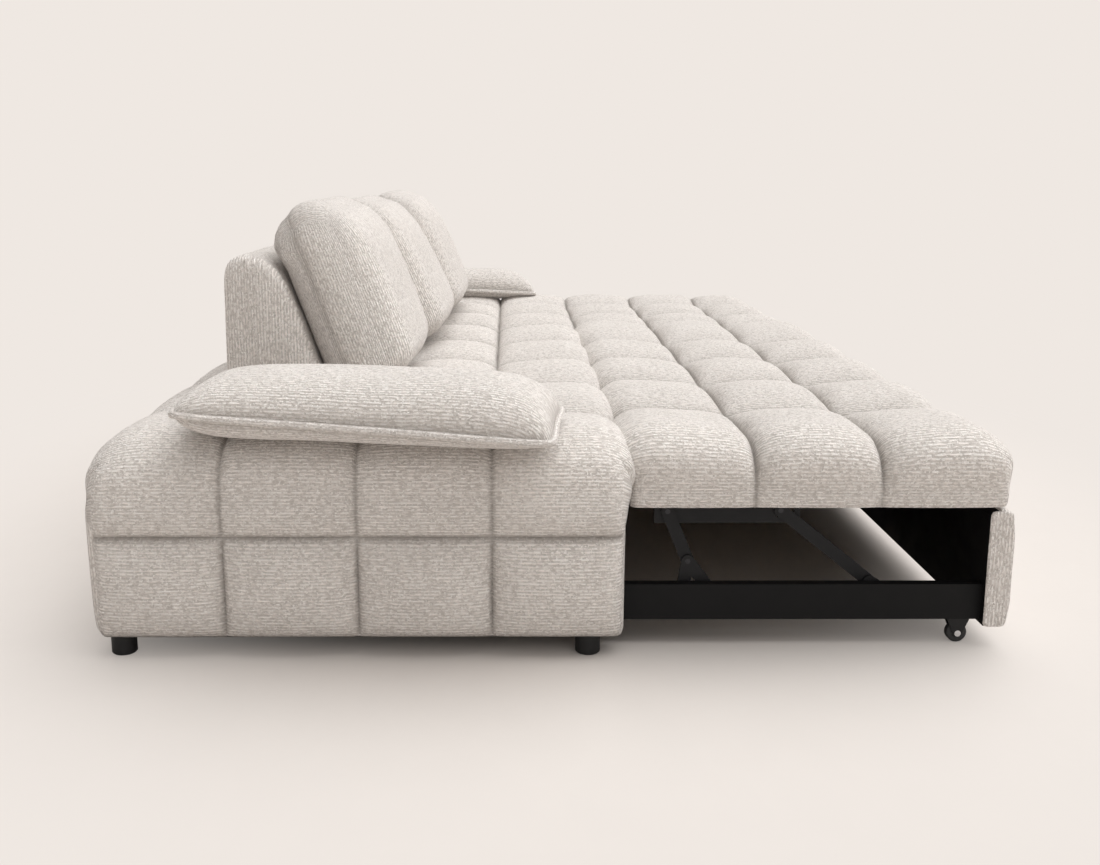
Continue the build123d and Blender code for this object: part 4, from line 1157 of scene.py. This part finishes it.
def lofted_pad(name, outline, near, far, edge, crown, lengths=PAD_LENGTHS):
    """A stuffed pad: an outline in Y and Z carried from near to far, with rounded, crowned ends."""
    count = SECTION_POINTS
    section, girth = resampled(outline, count)
    middle = (section.min(axis=0) + section.max(axis=0)) / 2
    reach = (section.max(axis=0) - section.min(axis=0)) / 2
    rings = []
    for share in CAP_SHARES:
        rings.append((near + crown * share ** 2, share, edge))
    for angle in CAP_ANGLES:
        rings.append((near + crown + edge * (1 - math.cos(angle)), 1.0, edge * (1 - math.sin(angle))))
    caps = len(rings)
    body = [(x, 1.0, 0.0) for x in close_stops([near + crown + edge, far - crown - edge], lengths)[1:-1]]
    mirrored = [(near + far - x, share, inset) for x, share, inset in reversed(rings)]
    stations = rings + body + mirrored
    points = []
    for x, share, inset in stations:
        loop = middle + (section - middle) * (1 - inset / reach) * share
        points.extend([(x, y, z) for y, z in loop])
    points = np.array(points)
    above_foot = points[:, 2] > middle[1] - reach[1] * PAD_STILL_FOOT
    points[:, 1] += ripple(points + PAD_NOISE_SHIFT, PAD_NOISE) * PAD_UNEVEN * above_foot
    faces = []
    weave = []
    for i in range(len(stations) - 1):
        capped = i < caps or i >= len(stations) - 1 - caps
        for k in range(count):
            after = (k + 1) % count
            face = (i * count + k, i * count + after, (i + 1) * count + after, (i + 1) * count + k)
            faces.append(face)
            for corner, turn in zip(face, (k, k + 1, k + 1, k)):
                x, y, z = points[corner]
                weave.append((z, y) if capped else (girth * turn / count, x))
    for cap in (list(range(count))[::-1], [(len(stations) - 1) * count + k for k in range(count)]):
        faces.append(cap)
        weave.extend([(points[corner][2], points[corner][1]) for corner in cap])
    return mesh_object(name, points, faces, weave)


class SOFA_OT_front_panel_cover(bpy.types.Operator):
    """Padded front of the pull-out frame"""

    bl_idname = "sofa.front_panel_cover"
    bl_label = "Front panel cover"

    def execute(self, context):
        front = PANEL_LOW[1] - PANEL_FORWARD
        foot = PANEL_LOW[2]
        head = PANEL_HIGH[2]

        def section(rear):
            corners = [(rear, foot), (rear, head), (front + PANEL_BOW, head), (front, head - PANEL_EASE),
                       (front, foot + PANEL_EASE), (front + PANEL_BOW, foot)]
            return soft_corners(corners, PANEL_ROUND)

        pad = lofted_pad("front_panel_cover", section(PANEL_HIGH[1]), PANEL_LOW[0], PANEL_HIGH[0],
                         PANEL_EDGE, PANEL_CROWN)
        dress(pad, "drawer", "upholstery", "front_panel_pad")
        inner = float(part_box("front_panel_board")[1].y) + WRAP_BEHIND
        wrap = lofted_pad("front_panel_end", section(inner), PANEL_LOW[0] - WRAP_OUT,
                          PANEL_LOW[0] - WRAP_GAP, WRAP_EDGE, WRAP_CROWN, WRAP_LENGTHS)
        dress(wrap, "drawer", "upholstery")
        return {"FINISHED"}


def backrest_outline(low, high):
    """Section of a backrest in Y and Z: upright rear, round head and sloping front."""
    head = [(high[1] - back, high[2] - down) for back, down in BACKREST_HEAD]
    foot = [(low[1] + back, low[2] + up) for back, up in BACKREST_FOOT]
    return soft_corners([(high[1], low[2])] + head + foot, BACKREST_ROUND)


class SOFA_OT_backrests(bpy.types.Operator):
    """Padded backrests, with a seam down each end"""

    bl_idname = "sofa.backrests"
    bl_label = "Backrests"

    def execute(self, context):
        fabric = context.scene.sofa_fabric
        for seat in SEATS:
            node = f"backrest_pad_{seat}"
            body = f"backrest_{seat}"
            low, high = joint_box(node)
            low[2] -= SINK
            pad = lofted_pad(f"backrest_cover_{seat}", backrest_outline(low, high), low[0], high[0],
                             BACKREST_EDGE, BACKREST_CROWN)
            for end, x, inward in (("near", low[0], 1), ("far", high[0], -1)):
                head = (x, high[1] - BACKREST_SEAM_HEAD[0], high[2] - BACKREST_SEAM_HEAD[1])
                foot = (x, high[1] - BACKREST_SEAM_FOOT[0], low[2] + BACKREST_SEAM_FOOT[1])
                seam = seam_on(f"backrest_seam_{seat}_{end}", pad, head, foot, (inward, 0, 0),
                               fabric.seam_radius)
                dress(seam, body, "upholstery")
            dress(pad, body, "upholstery", node)
        return {"FINISHED"}


def upright_weave(points, quads, sides):
    """Cloth coordinates of a standing cushion: ribs run up it, and up its ends."""
    weave = []
    for quad, side in zip(quads, sides):
        for corner in quad:
            x, y, z = points[corner]
            weave.append((z, y) if side[0] == 0 else (z if side[0] == 1 else y, x))
    return weave


def seam_ring(stops, level):
    """Grid places round a block at one level of its thickness."""
    last_x = len(stops[0]) - 1
    last_z = len(stops[2]) - 1
    ring = [(i, level, 0) for i in range(last_x)]
    ring += [(last_x, level, k) for k in range(last_z)]
    ring += [(i, level, last_z) for i in range(last_x, 0, -1)]
    ring += [(0, level, k) for k in range(last_z, 0, -1)]
    return ring


def folds_on(points, seat, stretch, shift, scale, height):
    """Folds of one size over a back cushion, different on each seat."""
    return ripple(points * np.array(stretch) + seat * shift, scale) * height


def plump_cushion(points, low, high, seat):
    """Block points of a back cushion moved to its stuffed form, full in front and flatter behind.

    Returns them with each one's distance from the seam."""
    shaped, outward = rounded(points, low, high, BACK_LOW_RADII, BACK_HIGH_RADII)
    half = (high - low) / 2
    middle = (high + low) / 2
    share = (points - middle) / half
    across = 1 - np.abs(share[:, 0]) ** BACK_ACROSS_POWER
    height = np.abs(share[:, 2] + BACK_FULL_BELOW) / (1 + BACK_FULL_BELOW)
    up = np.clip(1 - height ** BACK_UP_POWER, 0, None)
    forward = np.clip(-share[:, 1], 0, 1)
    behind = np.clip(share[:, 1], 0, 1)
    shaped[:, 1] -= (BACK_CROWN + BACK_BULGE) * across * up * forward
    shaped[:, 1] += BACK_SWELL * across * up * behind
    shaped[:, 1] += BACK_OVERHANG * behind * smooth_step((share[:, 2] - OVERHANG_START) / OVERHANG_SPAN)
    shaped[:, 0] *= 1 - BACK_NIP * (1 - up) * np.abs(share[:, 0])
    folds = sum(folds_on(points, seat, *layer) for layer in BACK_FOLDS)
    beside = np.abs(share[:, 1] - BACK_SEAM_SHARE) * half[1]
    beside = beside + BACK_FRONT_AWAY * (share[:, 1] < BACK_FRONT_FACE)
    gathers = folds_on(points, seat, *BACK_GATHERS) * np.exp(-beside / GATHER_WIDTH)
    dent = -BACK_DENT * np.exp(-(beside / BACK_DENT_WIDTH) ** 2)
    return shaped + outward * (folds + gathers + dent)[:, None], beside


class SOFA_OT_back_cushions(bpy.types.Operator):
    """Loose back cushions, sewn round their rear edge"""

    bl_idname = "sofa.back_cushions"
    bl_label = "Back cushions"

    def execute(self, context):
        fabric = context.scene.sofa_fabric
        cushions = context.scene.sofa_cushions
        for seat, lean in zip(SEATS, cushions.back_lean):
            node = f"back_cushion_{seat}"
            body = f"back_cushion_{seat}"
            box_low, box_high = joint_box(node)
            half = np.array([box_high[0] - box_low[0], cushions.back_thickness, cushions.back_height]) / 2
            low = -half + np.array([0, BACK_CROWN, -SINK])
            high = half - np.array([0, BACK_SWELL, 0])
            stops = (close_stops([low[0], high[0]], BACK_COLUMNS),
                     np.linspace(low[1], high[1], BACK_LAYERS + 1),
                     close_stops([low[2], high[2]], BACK_ROWS))
            points, quads, sides, index = box_surface(stops, lambda side, centre: True)
            shaped, beside = plump_cushion(points, low, high, seat)
            middle = Vector((box_low + box_high) / 2)
            place = Matrix.Translation(middle) @ Matrix.Rotation(-lean, 4, "X")
            weave = upright_weave(points, quads, sides)
            cushion = mesh_object(f"back_cushion_cover_{seat}", shaped, quads, weave)
            # Seam colour painted along the sewn seam: painted shade with the pile's parting.
            paint_seam_shade(cushion, SEAM_SHADE * np.exp(-(beside / BACK_SEAM_SHADE_WIDTH) ** 2))
            ring = [shaped[index[spot]] for spot in seam_ring(stops, BACK_SEAM_LAYER)]
            seam = cord(f"back_cushion_seam_{seat}", ring, ring, fabric.seam_radius, True)
            for piece in (cushion, seam):
                piece.data.transform(place)
            cushion.modifiers.new("smooth", "SUBSURF").levels = 1
            dress(cushion, body, "upholstery", node)
            dress(seam, body, "upholstery")
        return {"FINISHED"}


def arm_point(a, b, size, seam):
    """Place of an arm cushion's border at shares a and b of its half width and half length."""
    round_off = ARM_TIP * (a * b) ** ARM_TIP_POWER
    x = a * (size[0] / 2 - ARM_PULL * (1 - b * b) - round_off)
    y = b * (size[1] / 2 - ARM_END_PULL * ARM_PULL * (1 - a * a) - round_off)
    return x, y, seam + ARM_SEAM_RISE * b - size[2] / 2


def arm_height(a, b, size, seam, upper):
    """Place of an arm cushion's upper or lower cloth at shares a and b."""
    x, y, z = arm_point(a, b, size, seam)
    across, along = ARM_UPPER_POWERS if upper else ARM_LOWER_POWERS
    full = ((1 - abs(a) ** across) * (1 - abs(b) ** along)) ** 0.5
    crown = size[2] / 2 if upper else -size[2] / 2
    return x, y, z + (crown - z) * full


class SOFA_OT_arm_cushions(bpy.types.Operator):
    """Piped arm cushions"""

    bl_idname = "sofa.arm_cushions"
    bl_label = "Arm cushions"

    def execute(self, context):
        fabric = context.scene.sofa_fabric
        cushions = context.scene.sofa_cushions
        size = cushions.arm_size
        shares_x = np.sin(np.linspace(-1, 1, ARM_COLUMNS) * math.pi / 2)
        shares_y = np.sin(np.linspace(-1, 1, ARM_ROWS) * math.pi / 2)
        width = len(shares_x)
        for end, sign, sink in zip(ENDS, (-1, 1), ARM_SINKS):
            node = f"arm_cushion_{end}"
            low, high = joint_box(node)
            points = []
            for upper in (True, False):
                for b in shares_y:
                    points.extend([arm_height(a, b, size, cushions.arm_seam, upper) for a in shares_x])
            points = np.array(points)
            points[:, 2] += ripple(points + sign * ARM_NOISE_SHIFT, ARM_NOISE) * ARM_UNEVEN
            grid = points.reshape(2, len(shares_y), width, 3)
            steps = np.linalg.norm(np.diff(grid, axis=2), axis=3)
            runs = np.concatenate([np.zeros((2, len(shares_y), 1)), np.cumsum(steps, axis=2)], axis=2)
            runs = (runs - runs[:, :, width // 2:width // 2 + 1]).ravel()
            faces = []
            weave = []
            for sheet in (0, 1):
                start = sheet * width * len(shares_y)
                for j in range(len(shares_y) - 1):
                    for i in range(width - 1):
                        corner = start + j * width + i
                        face = (corner, corner + 1, corner + width + 1, corner + width)
                        face = face if sheet == 0 else face[::-1]
                        faces.append(face)
                        weave.extend([(points[spot][1], runs[spot]) for spot in face])
            cushion = mesh_object(f"arm_cushion_cover_{end}", points, faces, weave)
            # Seam colour painted along the piped seam, as painted shade beside the piping.
            aside = np.minimum(size[0] / 2 * (1 - np.abs(np.tile(shares_x, 2 * len(shares_y)))),
                               size[1] / 2 * (1 - np.abs(np.tile(np.repeat(shares_y, width), 2))))
            paint_seam_shade(cushion, SEAM_SHADE * np.exp(-aside / ARM_SEAM_SHADE_WIDTH))
            border = [(-1, b) for b in shares_y] + [(a, 1) for a in shares_x[1:]]
            border += [(1, b) for b in shares_y[::-1][1:]] + [(a, -1) for a in shares_x[::-1][1:-1]]
            ring = np.array([arm_point(a, b, size, cushions.arm_seam) for a, b in border])
            ring *= np.array([1 + PIPING_OUT / size[0], 1 + PIPING_OUT / size[1], 1])
            outs = ring * np.array([1, 1, 0])
            piping = cord(f"arm_cushion_piping_{end}", ring, outs, fabric.welt_radius, True)
            turn = Matrix.Rotation(sign * cushions.arm_tilt, 4, "Y")
            turn = turn @ Matrix.Rotation(sign * cushions.arm_turn, 4, "Z")
            middle = Vector((low + high) / 2) - Vector((0, 0, sink))
            for piece in (cushion, piping):
                piece.data.transform(Matrix.Translation(middle) @ turn)
            dress(cushion, node, "upholstery", node)
            dress(piping, node, "upholstery")
        return {"FINISHED"}


def lining_sheet(name, low, high, axis, outward, count):
    """A thin felt lining on one upright plane, slightly uneven."""
    across = 1 - axis
    level = high[axis] if outward > 0 else low[axis]
    runs = np.linspace(low[across], high[across], count + 1)
    ups = np.linspace(low[2], high[2], LINING_RISES + 1)
    points = []
    for up in ups:
        for run in runs:
            point = [0.0, 0.0, up]
            point[axis] = level
            point[across] = run
            points.append(point)
    points = np.array(points)
    edge = np.minimum(points[:, 2] - low[2], high[2] - points[:, 2])
    sag = LINING_SAG + LINING_UNEVEN * ripple(points, LINING_NOISE)
    points[:, axis] -= outward * sag * np.clip(edge / LINING_EDGE, 0, 1)
    faces = []
    weave = []
    width = count + 1
    for j in range(len(ups) - 1):
        for i in range(count):
            face = (j * width + i, j * width + i + 1, (j + 1) * width + i + 1, (j + 1) * width + i)
            faces.append(face)
            weave.extend([(points[corner][across], points[corner][2]) for corner in face])
    return mesh_object(name, points, faces, weave, "lining")


class SOFA_OT_linings(bpy.types.Operator):
    """Black linings beside and behind the pull-out bed"""

    bl_idname = "sofa.linings"
    bl_label = "Linings"

    def execute(self, context):
        inner = lining_sheet("chaise_lining", LINING_LOW, LINING_HIGH, 0, -1, CHAISE_LINING_STEPS)
        thickened(inner, LINING_THICK)
        dress(inner, "platform", "black_board", "chaise_inner_lining")
        band_low = np.array([NEAR_BOARD_END, BAND_LOW[1], SEAT_BASE - BAND_DEPTH])
        band_high = np.array([BAND_HIGH[0], BAND_LOW[1], SEAT_BASE])
        band = lining_sheet("seat_front_lining", band_low, band_high, 1, -1, BAND_STEPS)
        thickened(band, LINING_THICK)
        dress(band, "platform", "black_board", "main_front_band")
        rear_low, rear_high = joint_box("main_rear_board")
        rear_low[1] -= CLOTH_BACKED
        rear_high[2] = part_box("main_deck_rails")[0].z
        rear = lining_sheet("rear_lining", rear_low, rear_high, 1, -1, REAR_LINING_STEPS)
        dress(rear, "platform", "black_board")
        return {"FINISHED"}


class SOFA_OT_finishes(bpy.types.Operator):
    """Finishes of the boards, rails, lift, castors and feet"""

    bl_idname = "sofa.finishes"
    bl_label = "Frame finishes"

    def execute(self, context):
        for name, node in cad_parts.items():
            for place in node.material_slots:
                slot = "bolts" if name in BOLT_NODES else place.material.name.split(".")[0]
                place.material = finish(slot)
        return {"FINISHED"}


def floor_sheet(colour, backdrop):
    """A large pale floor that keeps the sofa's shadow and fades into the backdrop further out."""
    reach = FLOOR_REACH
    mesh = bpy.data.meshes.new("studio_floor")
    corners = [(-reach, -reach, 0), (reach, -reach, 0), (reach, reach, 0), (-reach, reach, 0)]
    mesh.from_pydata(corners, [], [(0, 1, 2, 3)])
    material, wiring, shader = plain_material("studio_floor", Specular_IOR_Level=0.3)
    place = wiring.add("ShaderNodeTexCoord").outputs["Object"]
    grain = place_group(wiring, "FineGrain", place, Scale=FLOOR_GRAIN)
    dim = tuple(part * FLOOR_DIM for part in colour)
    wiring.feed(shader.inputs["Base Color"], wiring.mixed(grain["Smudge"], (*dim, 1), (*colour, 1)))
    wiring.feed(shader.inputs["Roughness"], wiring.ramp(grain["Grain"], 0, 1, 0.50, 0.56))
    away = wiring.add("ShaderNodeVectorMath", operation="LENGTH")
    wiring.feed(away.inputs[0], wiring.scaled(place, FLOOR_STRETCH))
    fade = wiring.ramp(away.outputs["Value"], *FLOOR_FADE)
    seen = wiring.maths("MULTIPLY", fade, wiring.add("ShaderNodeLightPath").outputs["Is Camera Ray"])
    glow = wiring.add("ShaderNodeEmission", {"Color": (*backdrop, 1), "Strength": 1.0})
    blend = wiring.add("ShaderNodeMixShader")
    wiring.feed(blend.inputs[0], seen)
    wiring.feed(blend.inputs[1], shader.outputs["BSDF"])
    wiring.feed(blend.inputs[2], glow.outputs["Emission"])
    wiring.feed(material.node_tree.nodes["Material Output"].inputs["Surface"], blend.outputs["Shader"])
    mesh.materials.append(material)
    floor = bpy.data.objects.new("studio_floor", mesh)
    bpy.context.collection.objects.link(floor)


def soft_lamp(name, source, spread, strength):
    """A far, wide light that shines from the source's direction."""
    data = bpy.data.lights.new(name, "SUN")
    data.angle = spread
    data.energy = strength
    lamp = bpy.data.objects.new(name, data)
    lamp.location = source
    lamp.rotation_euler = (-Vector(source)).to_track_quat("-Z", "Y").to_euler()
    bpy.context.collection.objects.link(lamp)


class SOFA_OT_stage(bpy.types.Operator):
    """Floor, soft light and camera"""

    bl_idname = "sofa.stage"
    bl_label = "Stage"

    def execute(self, context):
        stage = context.scene.sofa_stage
        scene = context.scene
        scene.view_settings.view_transform = "Standard"
        floor_sheet(stage.floor_colour, stage.backdrop_colour)
        world = bpy.data.worlds.new("studio")
        scene.world = world
        world.use_nodes = True
        wiring = Wiring(world.node_tree)
        backdrop = world.node_tree.nodes["Background"]
        backdrop.inputs["Color"].default_value = (*stage.backdrop_colour, 1)
        rays = wiring.add("ShaderNodeLightPath").outputs
        seen = wiring.maths("MAXIMUM", rays["Is Camera Ray"], rays["Is Glossy Ray"])
        seen = wiring.maths("MAXIMUM", seen, rays["Is Transmission Ray"])
        wiring.feed(backdrop.inputs["Strength"], wiring.ramp(seen, 0, 1, stage.sky_strength, 1.0))
        soft_lamp("rear_light", stage.rear_source, stage.lamp_spread, stage.rear_strength)
        soft_lamp("front_light", stage.front_source, stage.lamp_spread, stage.front_strength)
        data = bpy.data.cameras.new("camera")
        data.lens = stage.camera_lens
        data.sensor_width = SENSOR_WIDTH
        data.shift_x = stage.camera_shift
        data.clip_end = CAMERA_FAR
        camera = bpy.data.objects.new("camera", data)
        camera.location = stage.camera_place
        camera.rotation_euler = Euler((math.pi / 2 - stage.camera_pitch, 0, -math.pi / 2 - stage.camera_yaw))
        bpy.context.collection.objects.link(camera)
        scene.camera = camera
        return {"FINISHED"}


class SOFA_PT_panel(bpy.types.Panel):
    """Buttons and sizes of the sofa"""

    bl_idname = "SOFA_PT_panel"
    bl_label = "Corner sofa bed"
    bl_space_type = "VIEW_3D"
    bl_region_type = "UI"
    bl_category = "Sofa"

    def draw(self, context):
        for operator in OPERATORS:
            self.layout.operator(operator.bl_idname)
        for settings in (context.scene.sofa_fabric, context.scene.sofa_cushions, context.scene.sofa_stage):
            column = self.layout.column()
            for name in settings.bl_rna.properties.keys():
                if name not in ("rna_type", "name"):
                    column.prop(settings, name)


SETTINGS = {
    "sofa_fabric": SofaFabricSettings,
    "sofa_cushions": SofaCushionSettings,
    "sofa_stage": SofaStageSettings,
}
OPERATORS = (
    SOFA_OT_stage, SOFA_OT_main_cover, SOFA_OT_chaise_cover, SOFA_OT_bed_cover, SOFA_OT_front_panel_cover,
    SOFA_OT_backrests, SOFA_OT_back_cushions, SOFA_OT_arm_cushions, SOFA_OT_linings, SOFA_OT_finishes,
)


def register():
    """Adds the settings, operators and panel to Blender."""
    for name, settings in SETTINGS.items():
        bpy.utils.register_class(settings)
        setattr(bpy.types.Scene, name, PointerProperty(type=settings))
    for entry in (*OPERATORS, SOFA_PT_panel):
        bpy.utils.register_class(entry)


def unregister():
    """Takes them away again."""
    for entry in reversed((*OPERATORS, SOFA_PT_panel)):
        bpy.utils.unregister_class(entry)
    for name, settings in SETTINGS.items():
        delattr(bpy.types.Scene, name)
        bpy.utils.unregister_class(settings)


def main():
    """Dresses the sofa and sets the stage."""
    register()
    for operator in OPERATORS:
        group, name = operator.bl_idname.split(".")
        getattr(getattr(bpy.ops, group), name)()
    bpy.context.view_layer.update()


if __name__ == "__main__":
    main()
